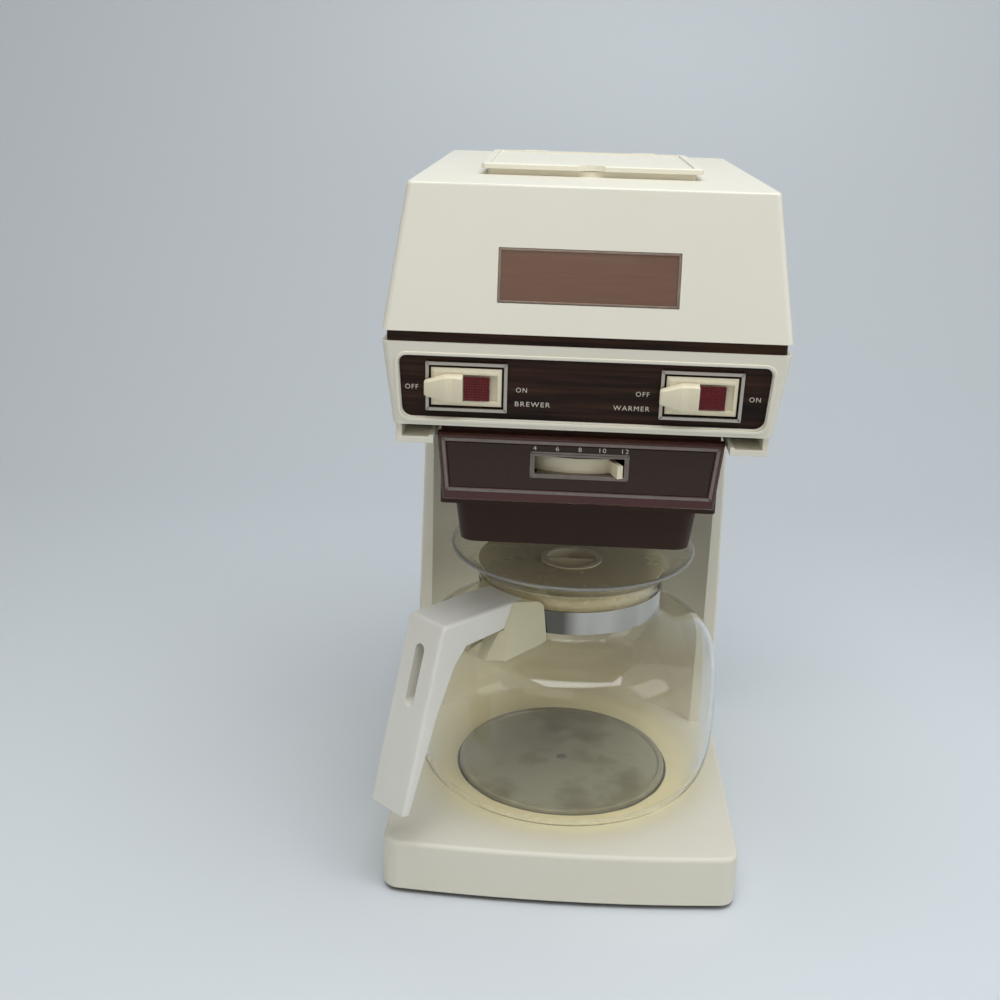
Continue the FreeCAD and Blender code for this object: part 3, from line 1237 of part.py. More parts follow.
def handle_bracket():
    """A cheek on each side of the arm that spreads down and outwards to the glass shoulder."""
    arm_half = float(d.handle_half)
    low = float(glass_foot + d.shoulder_height - d.bracket_skirt)
    high = float(glass_foot + d.arm_top)
    levels = [
        (high, d.bracket_head, d.bracket_reach - 1.3, arm_half + 1.0, d.bracket_reach, arm_half),
        (low, d.bracket_half, d.bracket_foot, d.bracket_foot_half, d.bracket_end, d.bracket_end_half),
    ]
    wires = []
    for z, root_half, corner, corner_half, end, end_half in levels:
        side = [(d.bracket_root, root_half), (corner, corner_half), (end, end_half)]
        around = [(x, -float(y)) for x, y in side] + [(x, float(y)) for x, y in reversed(side)]
        corners = [V(float(x), y, z) for x, y in around]
        wires.append(Part.makePolygon(corners + corners[:1]))
    wedge = Part.makeLoft(wires, True, True)
    arm = solid_box(40, 90, -arm_half - 0.02, arm_half + 0.02, float(glass_foot + d.arm_low) - 0.02, 400)
    well = solid_cylinder(screw_well, lug_low - low + 20, d.handle_screw_reach, 0, low - 20)
    way_out = solid_box(d.handle_screw_reach, d.bracket_end + 10, -screw_well, screw_well, low - 20, lug_low)
    wedge = wedge.cut(arm).cut(lug_clear).cut(well).cut(way_out)
    wedge = turned_out(wedge).cut(glass_clear).cut(band_clear)
    return max(wedge.Solids, key=lambda solid: solid.Volume)


named(feature("handle_bracket", handle_bracket()), "handle_bracket")


def handle_screw():
    head = solid_cylinder(d.screw_head, 2.0, d.handle_screw_reach, 0, lug_low - 2.0)
    shank = solid_cylinder(d.screw_radius, 11.0, d.handle_screw_reach, 0, lug_low)
    return turned_out(head.fuse(shank))


named(feature("handle_screw", handle_screw()), "handle_screw")


def carafe_lid():
    seat = glass_solid(float(d.glass_wall + d.fit_play), 10.0)
    low = glass_foot + d.lid_level - d.lid_sheet
    disc = solid_cylinder(d.rim_radius, d.lid_sheet, 0, 0, low).common(seat)
    skirt_out = float(d.neck_radius - d.glass_wall) - 1.2
    skirt = solid_cylinder(skirt_out, d.lid_skirt, 0, 0, low - d.lid_skirt)
    skirt = skirt.cut(solid_cylinder(skirt_out - 1.8, float(d.lid_skirt) + 2, 0, 0, low - d.lid_skirt - 1))
    return disc.fuse(skirt).cut(solid_cylinder(d.grip_radius, 20, 0, 0, float(low) - 10))


named(feature("carafe_lid", carafe_lid()), "carafe_lid")


def lid_grip():
    """A round finger well with a bar across it and two drip holes in its floor."""
    top = float(glass_foot + d.lid_level) + 0.8
    low = top - float(d.grip_depth) - float(d.grip_sheet)
    cup = solid_cylinder(d.grip_radius, top - low, 0, 0, low)
    flange = solid_cylinder(float(d.grip_radius) + 1.6, 0.8, 0, 0, top - 0.8)
    well = solid_cylinder(float(d.grip_radius - d.grip_sheet), 20, 0, 0, low + float(d.grip_sheet))
    bar = solid_box(-float(d.grip_radius) + 1, float(d.grip_radius) - 1, -0.9, 0.9, low, top - 0.6)
    grip = cup.fuse(flange).cut(well).fuse(bar)
    for y in (-6, 6):
        grip = grip.cut(solid_cylinder(2.2, 6, 0, y, low - 2))
    return grip


named(feature("lid_grip", lid_grip()), "lid_grip")

# ---------------------------------------------------------------- reservoir and its lid

def reservoir():
    low = float(tank_low)
    high = float(shroud_top) - float(d.shell_wall) - float(d.tank_head_gap)
    half = float(shroud_half_top) - float(d.tank_side_gap)
    rear = float(rear_face) - float(d.shroud_rear_draft) - float(d.tank_rear_gap)
    wall = float(d.tank_wall)
    tank = rounded(solid_box(-half, half, -d.tank_front, rear, low, high), 6.0, upright)
    inner = rounded(solid_box(-half + wall, half - wall, -float(d.tank_front) + wall, rear - wall, low + wall,
                              high + 1), 4.0, upright)
    tank = tank.cut(inner)
    return tank.cut(solid_cylinder(d.tube_bore, 10, -d.feed_offset, min(float(boiler_y), rear - 8), low - 5))


named(feature("reservoir", reservoir()), "reservoir")


def reservoir_lid():
    half, front, rear = float(d.lid_half), float(d.lid_front), float(d.lid_rear)
    low, top = float(lid_low), float(lid_top)
    flange = rounded(solid_box(-half, half, -front, rear, low, top), 2.0, upright)
    flange = rounded(flange, 0.7, lambda e: e.BoundBox.ZMin > top - 0.01)
    border = float(d.lid_border)
    flange = flange.cut(rounded(solid_box(-half + border, half - border, -front + border, rear - border,
                                          top - float(d.lid_dish), top + 1), 1.5, upright))
    notch_y = -front - float(d.notch_radius) + float(d.notch_bite)
    notch = Part.makeCylinder(float(d.notch_radius), 10, V(0, notch_y, low - 5))
    stand_in = d.lid_wall + d.opening_play
    outer = [collar_half - stand_in, collar_front - stand_in, collar_rear - stand_in]
    inner = [size - d.lid_wall for size in outer]
    bottom = shroud_top - d.lid_skirt_tall + d.lid_plug_tall
    skirt = solid_box(-outer[0], outer[0], -outer[1], outer[2], bottom, low + 0.5)
    skirt = skirt.cut(solid_box(-inner[0], inner[0], -inner[1], inner[2], bottom - 1, low))
    lid = flange.cut(notch).fuse(skirt)
    for x in ear_places:
        lid = lid.fuse(knuckle(x))
    return lid


def knuckle(x):
    """A tongue from the lid's rear edge that turns on the hinge pin beside the ear."""
    inward = 1 if float(x) < 0 else -1
    start = float(x) + inward * (float(d.hinge_ear_width) / 2 + float(d.ear_gap))
    x0, x1 = sorted((start, start + inward * float(d.knuckle_width)))
    y, z = float(hinge_y), float(hinge_z)
    reach = float(d.hinge_pin + d.ear_wall)
    tongue = solid_box(x0, x1, float(d.lid_rear) - 1.5, y, z - 1.0, z + reach)
    eye = Part.makeCylinder(reach, x1 - x0, V(x0, y, z), V(1, 0, 0))
    hole = Part.makeCylinder(float(d.hinge_pin + d.pin_play), x1 - x0 + 2, V(x0 - 1, y, z), V(1, 0, 0))
    return tongue.fuse(eye).cut(hole)


named(feature("reservoir_lid", reservoir_lid()), "reservoir_lid")
pins = []
for index, x in enumerate(ear_places):
    inward = 1 if float(x) < 0 else -1
    outer_end = float(x) - inward * float(d.hinge_ear_width) / 2
    length = float(d.hinge_ear_width + d.ear_gap + d.knuckle_width)
    start = min(outer_end, outer_end + inward * length)
    pin = cylinder(f"hinge_pin_{index}", d.hinge_pin, length, start, hinge_y, hinge_z)
    pin.Placement.Rotation = FreeCAD.Rotation(V(0, 1, 0), 90)
    pins.append(pin)
named(group("lid_hinge_pins", *pins), "lid_hinge_pins")

# ---------------------------------------------------------------- checks and export

doc.recompute()
for thing in doc.Objects:
    if "Invalid" in thing.State or "Error" in thing.State:
        raise ValueError(f"{thing.Name} failed: {thing.State}")
for node in NODES:
    shape = node.Shape
    if shape.isNull() or not shape.isValid() or not shape.Solids:
        raise ValueError(f"{node.Label} has no valid solid")
os.makedirs("parts", exist_ok=True)
for node in NODES:
    node.Shape.exportStep(f"parts/{node.Label}.step")
print(len(NODES), "nodes written")
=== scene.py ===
import math

import bpy
from mathutils import Matrix, Vector


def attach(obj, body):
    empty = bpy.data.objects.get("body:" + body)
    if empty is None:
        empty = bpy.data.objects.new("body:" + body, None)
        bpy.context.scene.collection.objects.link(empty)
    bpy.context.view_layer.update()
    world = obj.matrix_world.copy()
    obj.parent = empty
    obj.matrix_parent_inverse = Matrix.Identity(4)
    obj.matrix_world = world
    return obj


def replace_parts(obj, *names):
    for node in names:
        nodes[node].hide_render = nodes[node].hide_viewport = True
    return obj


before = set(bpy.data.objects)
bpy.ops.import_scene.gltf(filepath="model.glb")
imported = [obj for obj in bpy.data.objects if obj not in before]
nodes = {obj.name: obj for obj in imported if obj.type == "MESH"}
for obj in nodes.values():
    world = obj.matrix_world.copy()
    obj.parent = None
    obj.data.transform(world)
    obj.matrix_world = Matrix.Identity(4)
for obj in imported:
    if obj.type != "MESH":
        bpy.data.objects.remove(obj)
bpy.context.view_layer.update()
mm = 0.001

# ---------------------------------------------------------------- camera, light and ground
# The maker stands on a pale table in soft studio light. The camera looks down on it from
# just above its lid, a little to the left of its middle.

eye = Vector((-0.0099, -0.6229, 0.3901))
yaw, pitch, roll = -0.0455, 0.3268, 0.0294
bpy.ops.object.camera_add(location=eye)
camera = bpy.context.object
ahead = Vector((math.sin(yaw) * math.cos(pitch), math.cos(yaw) * math.cos(pitch), -math.sin(pitch)))
level = ahead.cross(Vector((0, 0, 1))).normalized()
above = level.cross(ahead)
across = level * math.cos(roll) + above * math.sin(roll)
upward = above * math.cos(roll) - level * math.sin(roll)
turn = Matrix((across, upward, -ahead)).transposed()
camera.matrix_world = Matrix.LocRotScale(eye, turn, None)
camera.data.lens = 45.81
camera.data.sensor_width = 36
camera.data.clip_start = 0.01
bpy.context.scene.camera = camera
bpy.context.scene.view_settings.view_transform = "Standard"


def colour(hex_value):
    """The linear colour that a shader takes, from an sRGB hex value."""
    parts = [int(hex_value[i:i + 2], 16) / 255 for i in (1, 3, 5)]
    return [*(p / 12.92 if p <= 0.04045 else ((p + 0.055) / 1.055) ** 2.4 for p in parts), 1.0]


def add_node(owner, kind, settings=None, inputs=None):
    """A shader node with its settings, its plain values and its links."""
    tree = owner.node_tree
    made = tree.nodes.new(kind)
    for name, value in (settings or {}).items():
        setattr(made, name, value)
    for name, value in (inputs or {}).items():
        if isinstance(value, bpy.types.NodeSocket):
            tree.links.new(value, made.inputs[name])
        else:
            made.inputs[name].default_value = value
    return made


def empty_material(name):
    material = bpy.data.materials.new(name)
    material.use_nodes = True
    material.node_tree.nodes.clear()
    return material


def show(material, shader):
    add_node(material, "ShaderNodeOutputMaterial", inputs={"Surface": shader.outputs[0]})
    return material


def soft_lamp(name, spot, target, size, power, tint):
    bpy.ops.object.light_add(type="AREA", location=spot)
    lamp = bpy.context.object
    lamp.name = name
    lamp.data.shape = "RECTANGLE"
    lamp.data.size, lamp.data.size_y = size
    lamp.data.energy = power
    lamp.data.color = colour(tint)[:3]
    lamp.rotation_euler = (Vector(target) - Vector(spot)).to_track_quat("-Z", "Y").to_euler()
    return lamp


soft_lamp("overhead_softbox", (0.1, -0.35, 1.3), (0, -0.05, 0.2), (1.1, 0.9), 13.5, "#F4F9FF")
soft_lamp("front_softbox", (-0.3, -1.25, 0.9), (0, 0, 0.15), (0.9, 0.7), 1.8, "#FFF3E0")
soft_lamp("right_softbox", (1.2, -0.5, 0.6), (0, 0, 0.15), (0.6, 0.9), 2.6, "#F4F9FF")

world = bpy.context.scene.world or bpy.data.worlds.new("studio_world")
bpy.context.scene.world = world
world.use_nodes = True
world.node_tree.nodes.clear()
rays = add_node(world, "ShaderNodeLightPath")
seen = add_node(world, "ShaderNodeMath", {"operation": "MAXIMUM"},
                {0: rays.outputs["Is Camera Ray"], 1: rays.outputs["Is Glossy Ray"]})
seen = add_node(world, "ShaderNodeMath", {"operation": "MAXIMUM"},
                {0: seen.outputs[0], 1: rays.outputs["Is Transmission Ray"]})
room = add_node(world, "ShaderNodeBackground", inputs={"Color": colour("#EFF2F4"), "Strength": 0.27})
wall = add_node(world, "ShaderNodeBackground", inputs={"Color": colour("#DCE0E2"), "Strength": 0.92})
both = add_node(world, "ShaderNodeMixShader",
                inputs={0: seen.outputs[0], 1: room.outputs[0], 2: wall.outputs[0]})
add_node(world, "ShaderNodeOutputWorld", inputs={"Surface": both.outputs[0]})

# Satin laminate: nearly even, with a faint broad cloudiness and soft reflections.
laminate = empty_material("pale_table_laminate")
table_tone = add_node(laminate, "ShaderNodeTexNoise", inputs={"Scale": 3.0, "Detail": 2.0})
table_mix = add_node(laminate, "ShaderNodeMix", {"data_type": "RGBA"},
                     {0: table_tone.outputs[0], 6: colour("#DFE3E5"), 7: colour("#D9DDDF")})
show(laminate, add_node(laminate, "ShaderNodeBsdfPrincipled",
                        inputs={"Base Color": table_mix.outputs[2], "Roughness": 0.42}))

floor_wide, floor_deep, floor_middle = 6.0, 3.4, -0.6
wall_tall, wall_curve = 2.4, 0.6
far_edge = floor_middle + floor_deep / 2 - 0.1
bpy.ops.object.select_all(action="DESELECT")
bpy.ops.mesh.primitive_plane_add(size=1, location=(0, 0, 0))
ground = bpy.context.object
ground.name = "studio_ground"
ground.scale = (floor_wide, floor_deep, 1.0)
ground.location = (0, floor_middle, 0)
bpy.ops.object.transform_apply(location=True, rotation=True, scale=True)
bpy.ops.object.mode_set(mode="EDIT")
bpy.ops.mesh.select_mode(type="EDGE")
bpy.ops.mesh.select_all(action="DESELECT")
bpy.ops.object.mode_set(mode="OBJECT")
for edge in ground.data.edges:
    edge.select = all(ground.data.vertices[i].co.y > far_edge for i in edge.vertices)
bpy.ops.object.mode_set(mode="EDIT")
bpy.ops.mesh.extrude_region_move(TRANSFORM_OT_translate={"value": (0, 0, wall_tall)})
bpy.ops.object.mode_set(mode="OBJECT")
for edge in ground.data.edges:
    ends = [ground.data.vertices[i].co for i in edge.vertices]
    edge.select = all(abs(end.z) < 1e-4 and end.y > far_edge for end in ends)
bpy.ops.object.mode_set(mode="EDIT")
bpy.ops.mesh.bevel(offset=wall_curve, segments=16)
bpy.ops.object.mode_set(mode="OBJECT")
bpy.ops.object.shade_smooth()
ground.data.materials.append(laminate)

# ---------------------------------------------------------------- almond body
# The base with its column, the housing, the shroud and the basket rails are moulded ABS in
# almond, with a very fine satin texture that spreads highlights. The dish round the warmer
# plate, low down, is coloured a slightly deeper yellow.

# Moulded ABS: a broad cloudiness of age, a texture finer than a millimetre and a satin sheen.
# Near the warmer plate the almond turns towards a deeper yellow.
plate_zone, dish_edge = 0.062, 0.094
deep_yellow_low, deep_yellow_high = 0.028, 0.060
almond = empty_material("moulded_almond_abs")
place = add_node(almond, "ShaderNodeTexCoord").outputs["Object"]
cloudy = add_node(almond, "ShaderNodeTexNoise", inputs={"Vector": place, "Scale": 14.0, "Detail": 3.0})
almond_tone = add_node(almond, "ShaderNodeMix", {"data_type": "RGBA"},
                       {0: cloudy.outputs[0], 6: colour("#E9E4D4"), 7: colour("#E2DCC9")})
along = add_node(almond, "ShaderNodeSeparateXYZ", inputs={0: place})
flat = add_node(almond, "ShaderNodeCombineXYZ", inputs={0: along.outputs[0], 1: along.outputs[1]})
from_middle = add_node(almond, "ShaderNodeVectorMath", {"operation": "LENGTH"}, {0: flat.outputs[0]})
near_plate = add_node(almond, "ShaderNodeMapRange", {"interpolation_type": "SMOOTHSTEP"},
                      {0: from_middle.outputs["Value"], 1: dish_edge, 2: plate_zone, 3: 0.0, 4: 1.0})
low_down = add_node(almond, "ShaderNodeMapRange", {"interpolation_type": "SMOOTHSTEP"},
                    {0: along.outputs[2], 1: deep_yellow_high, 2: deep_yellow_low, 3: 0.0, 4: 1.0})
deep_yellow_zone = add_node(almond, "ShaderNodeMath", {"operation": "MULTIPLY"},
                  {0: near_plate.outputs[0], 1: low_down.outputs[0]})
deep_yellow_share = add_node(almond, "ShaderNodeMath", {"operation": "MULTIPLY"}, {0: deep_yellow_zone.outputs[0], 1: 0.6})
almond_colour = add_node(almond, "ShaderNodeMix", {"data_type": "RGBA"},
                         {0: deep_yellow_share.outputs[0], 6: almond_tone.outputs[2], 7: colour("#D9CEA6")})
satin = add_node(almond, "ShaderNodeTexNoise", inputs={"Vector": place, "Scale": 1600.0, "Detail": 2.0})
almond_rough = add_node(almond, "ShaderNodeMapRange",
                        inputs={0: cloudy.outputs[0], 1: 0.3, 2: 0.7, 3: 0.36, 4: 0.46})
almond_bump = add_node(almond, "ShaderNodeBump",
                       inputs={"Height": satin.outputs[0], "Strength": 0.12, "Distance": 0.0002})
show(almond, add_node(almond, "ShaderNodeBsdfPrincipled", inputs={
    "Base Color": almond_colour.outputs[2], "Roughness": almond_rough.outputs[0],
    "Normal": almond_bump.outputs[0]}))


def finish_in(material, *names):
    """One material on pieces that keep the mesh they have."""
    for name in names:
        mesh = nodes[name].data
        mesh.materials.clear()
        mesh.materials.append(material)


def even_out(piece, angle=50):
    """Smooth shading that keeps each broad face flat beside its narrow rounded edges."""
    bpy.ops.object.shade_smooth_by_angle(angle=math.radians(angle))
    evened = piece.modifiers.new("broad_faces_flat", "WEIGHTED_NORMAL")
    evened.keep_sharp = True
    bpy.ops.object.modifier_apply(modifier=evened.name)


def softened(name, body, material, width, segments=2, angle=32):
    """The same moulding with its sharp edges rounded, as a tool leaves them."""
    bpy.ops.object.select_all(action="DESELECT")
    piece = nodes[name].copy()
    piece.data = nodes[name].data.copy()
    piece.name = name + "_rounded"
    piece.parent = None
    piece.matrix_world = Matrix.Identity(4)
    bpy.context.scene.collection.objects.link(piece)
    bpy.context.view_layer.objects.active = piece
    piece.hide_set(False)
    piece.select_set(True)
    bpy.ops.object.mode_set(mode="EDIT")
    bpy.ops.mesh.select_all(action="SELECT")
    bpy.ops.mesh.remove_doubles(threshold=0.00001)
    bpy.ops.mesh.dissolve_limited(angle_limit=math.radians(0.5))
    bpy.ops.object.mode_set(mode="OBJECT")
    rounding = piece.modifiers.new("edge_rounding", "BEVEL")
    rounding.width = width * mm
    rounding.segments = segments
    rounding.limit_method = "ANGLE"
    rounding.angle_limit = math.radians(angle)
    bpy.ops.object.modifier_apply(modifier=rounding.name)
    piece.data.materials.clear()
    piece.data.materials.append(material)
    even_out(piece)
    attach(piece, body)
    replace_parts(piece, name)
    return piece


for name in ("base_shell", "lower_housing", "upper_shroud"):
    softened(name, "housing", almond, 0.6)
softened("basket_rails", "housing", almond, 0.35)
softened("reservoir_lid", "reservoir_lid", almond, 0.3)


# ---------------------------------------------------------------- covers, feet and screws
# The underside and the back are closed with dark coated sheet steel, held by plated screws.
# The feet are moulded black rubber and the lead's gland is black nylon.

# Powder coat: dark, with the slight orange peel of a baked powder.
coated = empty_material("powder_coated_steel")
place = add_node(coated, "ShaderNodeTexCoord").outputs["Object"]
orange_peel = add_node(coated, "ShaderNodeTexNoise", inputs={"Vector": place, "Scale": 900.0, "Detail": 2.0})
coat_bump = add_node(coated, "ShaderNodeBump",
                     inputs={"Height": orange_peel.outputs[0], "Strength": 0.3, "Distance": 0.0002})
show(coated, add_node(coated, "ShaderNodeBsdfPrincipled", inputs={
    "Base Color": colour("#3A3632"), "Roughness": 0.5, "Normal": coat_bump.outputs[0]}))

# Zinc plating: a pale grey metal, brighter and duller in small patches.
zinc = empty_material("zinc_plated_steel")
place = add_node(zinc, "ShaderNodeTexCoord").outputs["Object"]
spangle = add_node(zinc, "ShaderNodeTexNoise", inputs={"Vector": place, "Scale": 400.0, "Detail": 3.0})
zinc_rough = add_node(zinc, "ShaderNodeMapRange", inputs={0: spangle.outputs[0], 3: 0.26, 4: 0.42})
show(zinc, add_node(zinc, "ShaderNodeBsdfPrincipled", inputs={
    "Base Color": colour("#B9B8B4"), "Metallic": 1.0, "Roughness": zinc_rough.outputs[0]}))

# Moulded rubber: dull and nearly black, with a dusty bloom.
rubber = empty_material("moulded_black_rubber")
place = add_node(rubber, "ShaderNodeTexCoord").outputs["Object"]
bloom = add_node(rubber, "ShaderNodeTexNoise", inputs={"Vector": place, "Scale": 220.0, "Detail": 3.0})
rubber_tone = add_node(rubber, "ShaderNodeMix", {"data_type": "RGBA"},
                       {0: bloom.outputs[0], 6: colour("#1D1C1B"), 7: colour("#2A2927")})
show(rubber, add_node(rubber, "ShaderNodeBsdfPrincipled", inputs={
    "Base Color": rubber_tone.outputs[2], "Roughness": 0.7}))

# Moulded nylon: black, with a low sheen.
nylon = empty_material("moulded_black_nylon")
place = add_node(nylon, "ShaderNodeTexCoord").outputs["Object"]
nylon_grain = add_node(nylon, "ShaderNodeTexNoise", inputs={"Vector": place, "Scale": 700.0, "Detail": 2.0})
nylon_rough = add_node(nylon, "ShaderNodeMapRange", inputs={0: nylon_grain.outputs[0], 3: 0.38, 4: 0.5})
show(nylon, add_node(nylon, "ShaderNodeBsdfPrincipled", inputs={
    "Base Color": colour("#191817"), "Roughness": nylon_rough.outputs[0]}))

softened("bottom_cover", "housing", coated, 0.4)
softened("rear_cover", "housing", coated, 0.5)
softened("rubber_feet", "housing", rubber, 0.3)
softened("cord_gland", "housing", nylon, 0.4)
softened("rear_cover_screws", "housing", zinc, 0.35)
finish_in(zinc, "bottom_screws", "housing_screws", "shroud_screws", "handle_screw", "lever_pivot_pin",
          "lever_clip", "lid_hinge_pins", "element_clamp", "clamp_stud", "boiler_bracket")
finish_in(nylon, "brewer_switch_case", "warmer_switch_case", "terminal_block", "warmer_thermostat",
          "thermal_fuse")
finish_in(rubber, "warmer_gasket")

# ---------------------------------------------------------------- heater, boiler and tubes
# The heating elements are nickel alloy sheaths darkened by heat, the boiler is drawn
# aluminium and the tubes are clear silicone. The covers hide all of them.

# Nickel alloy: brown grey, blotched where it has been hottest.
sheath = empty_material("heat_darkened_alloy")
place = add_node(sheath, "ShaderNodeTexCoord").outputs["Object"]
scale_marks = add_node(sheath, "ShaderNodeTexNoise", inputs={"Vector": place, "Scale": 160.0, "Detail": 4.0})
sheath_tone = add_node(sheath, "ShaderNodeMix", {"data_type": "RGBA"},
                       {0: scale_marks.outputs[0], 6: colour("#57504A"), 7: colour("#7D746B")})
show(sheath, add_node(sheath, "ShaderNodeBsdfPrincipled", inputs={
    "Base Color": sheath_tone.outputs[2], "Metallic": 1.0, "Roughness": 0.45}))

# Drawn aluminium: bright, with fine lines along the drawing.
aluminium = empty_material("drawn_aluminium")
place = add_node(aluminium, "ShaderNodeTexCoord").outputs["Object"]
draw_lines = add_node(aluminium, "ShaderNodeMapping", inputs={0: place, 3: (60.0, 60.0, 3.0)})
draw_marks = add_node(aluminium, "ShaderNodeTexNoise",
                      inputs={"Vector": draw_lines.outputs[0], "Scale": 30.0})
aluminium_rough = add_node(aluminium, "ShaderNodeMapRange",
                           inputs={0: draw_marks.outputs[0], 3: 0.25, 4: 0.45})
show(aluminium, add_node(aluminium, "ShaderNodeBsdfPrincipled", inputs={
    "Base Color": colour("#C9C9CA"), "Metallic": 1.0, "Roughness": aluminium_rough.outputs[0]}))

# Silicone tube: milky, with light spreading inside it.
silicone = empty_material("clear_silicone")
place = add_node(silicone, "ShaderNodeTexCoord").outputs["Object"]
cloud = add_node(silicone, "ShaderNodeTexNoise", inputs={"Vector": place, "Scale": 60.0})
silicone_tone = add_node(silicone, "ShaderNodeMix", {"data_type": "RGBA"},
                         {0: cloud.outputs[0], 6: colour("#E4E2DA"), 7: colour("#D6D2C6")})
show(silicone, add_node(silicone, "ShaderNodeBsdfPrincipled", inputs={
    "Base Color": silicone_tone.outputs[2], "Roughness": 0.35, "Subsurface Weight": 0.15}))

# Polypropylene with no dye: off-white, with faint flow marks.
natural = empty_material("natural_polypropylene")
place = add_node(natural, "ShaderNodeTexCoord").outputs["Object"]
flow = add_node(natural, "ShaderNodeTexNoise", inputs={"Vector": place, "Scale": 25.0, "Detail": 3.0})
natural_tone = add_node(natural, "ShaderNodeMix", {"data_type": "RGBA"},
                        {0: flow.outputs[0], 6: colour("#E9E6DA"), 7: colour("#DFDBCB")})
show(natural, add_node(natural, "ShaderNodeBsdfPrincipled", inputs={
    "Base Color": natural_tone.outputs[2], "Roughness": 0.4}))
finish_in(sheath, "warmer_element", "boiler_element")
finish_in(aluminium, "boiler_tank")
finish_in(silicone, "riser_tube", "feed_tube")
finish_in(natural, "reservoir", "spray_head")

# ---------------------------------------------------------------- woodgrain panel and band
# The control panel and the band under the shroud are dark walnut print under a satin coat.
# The grain runs level: pores about a millimetre apart, drawn out over several centimetres.

walnut = empty_material("walnut_print_satin_coat")
place = add_node(walnut, "ShaderNodeTexCoord").outputs["Object"]
long_way = add_node(walnut, "ShaderNodeMapping", inputs={0: place, 3: (22.0, 22.0, 620.0)})
pores = add_node(walnut, "ShaderNodeTexNoise",
                 inputs={"Vector": long_way.outputs[0], "Scale": 1.0, "Detail": 5.0, "Roughness": 0.65})
wide_way = add_node(walnut, "ShaderNodeMapping", inputs={0: place, 3: (9.0, 9.0, 130.0)})
bands = add_node(walnut, "ShaderNodeTexNoise",
                 inputs={"Vector": wide_way.outputs[0], "Scale": 1.0, "Detail": 3.0})
grain = add_node(walnut, "ShaderNodeMath", {"operation": "MULTIPLY"},
                 {0: pores.outputs[0], 1: bands.outputs[0]})
grain_share = add_node(walnut, "ShaderNodeMapRange", inputs={0: grain.outputs[0], 1: 0.14, 2: 0.38})
walnut_tone = add_node(walnut, "ShaderNodeMix", {"data_type": "RGBA"},
                       {0: grain_share.outputs[0], 6: colour("#140C09"), 7: colour("#422A1D")})
grain_bump = add_node(walnut, "ShaderNodeBump",
                      inputs={"Height": pores.outputs[0], "Strength": 0.12, "Distance": 0.0002})
show(walnut, add_node(walnut, "ShaderNodeBsdfPrincipled", inputs={
    "Base Color": walnut_tone.outputs[2], "Roughness": 0.42, "Specular IOR Level": 0.14,
    "Normal": grain_bump.outputs[0]}))
finish_in(walnut, "control_panel", "trim_band")


def flat_start(name, corners, back=0.0):
    """A selected four-sided sheet that faces the front, open in edit mode.

    Its corners go low left, low right, high left, high right.
    """
    bpy.ops.object.select_all(action="DESELECT")
    bpy.ops.mesh.primitive_plane_add(size=1)
    piece = bpy.context.object
    piece.name = name
    for vertex in piece.data.vertices:
        corner = (2 if vertex.co.y > 0 else 0) + (1 if vertex.co.x > 0 else 0)
        x, z = corners[corner]
        vertex.co = (x * mm, back * mm, z * mm)
    bpy.ops.object.mode_set(mode="EDIT")
    bpy.ops.mesh.select_all(action="SELECT")
    return piece


def edging(name, outline, radius, width, rise, rounding, local, material, body):
    """A flat frame round a four-sided outline, standing out by its rise, its edges rounded."""
    piece = flat_start(name, outline)
    bpy.ops.mesh.bevel(offset=radius * mm, segments=6, affect="VERTICES")
    bpy.ops.mesh.select_all(action="SELECT")
    bpy.ops.mesh.inset(thickness=width * mm)
    bpy.ops.mesh.delete(type="FACE")
    bpy.ops.mesh.select_all(action="SELECT")
    bpy.ops.mesh.extrude_region_move(TRANSFORM_OT_translate={"value": (0, -rise * mm, 0)})
    bpy.ops.mesh.select_all(action="SELECT")
    bpy.ops.mesh.normals_make_consistent(inside=False)
    bpy.ops.object.mode_set(mode="OBJECT")
    return finished(piece, rounding, local, material, body)


def finished(piece, rounding, local, material, body, segments=2, limit=30):
    """Rounds a modelled piece's edges, puts it in place and lets it ride on its body."""
    if rounding:
        edge = piece.modifiers.new("edge_rounding", "BEVEL")
        edge.width = rounding * mm
        edge.segments = segments
        edge.limit_method = "ANGLE"
        edge.angle_limit = math.radians(limit)
        bpy.ops.object.modifier_apply(modifier=edge.name)
    piece.data.materials.append(material)
    bpy.ops.object.shade_smooth_by_angle(angle=math.radians(32))
    piece.data.transform(local @ piece.matrix_world)
    piece.matrix_world = Matrix.Identity(4)
    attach(piece, body)
    return piece


# The housing's front leans outwards as it rises, and the panel lies sunk in its window.
# What lies on the panel is placed from the middle of the switches' height.
housing_front, housing_tall, housing_draft = 104.0, 36.1, 4.0
panel_sunk = 2.55
lip_forward = 2.45
switch_above, switch_height = 17.2, 263.5
panel_front = panel_sunk - housing_front - housing_draft * switch_above / housing_tall
panel_local = (Matrix.Translation((0, panel_front * mm, switch_height * mm))
               @ Matrix.Rotation(math.atan2(housing_draft, housing_tall), 4, "X"))
window = [(-76.9, -14.79), (76.9, -14.79), (-78.4, 14.59), (78.4, 14.59)]
edging("window_lip", [(x * 1.012, z * 1.05) for x, z in window], 5.4, 1.5, 0.7, 0.3,
       panel_local @ Matrix.Translation((0, -lip_forward * mm, 0)), almond, "housing")
edging("window_step", window, 5.0, 0.9, 1.5, 0.3, panel_local, almond, "housing")

# ---------------------------------------------------------------- switches
# Each switch is a ribbed red lens and an ivory paddle on one sliding carriage. It runs in an
# ivory ABS plate with sloping edges, inside a pressed frame of anodised aluminium.

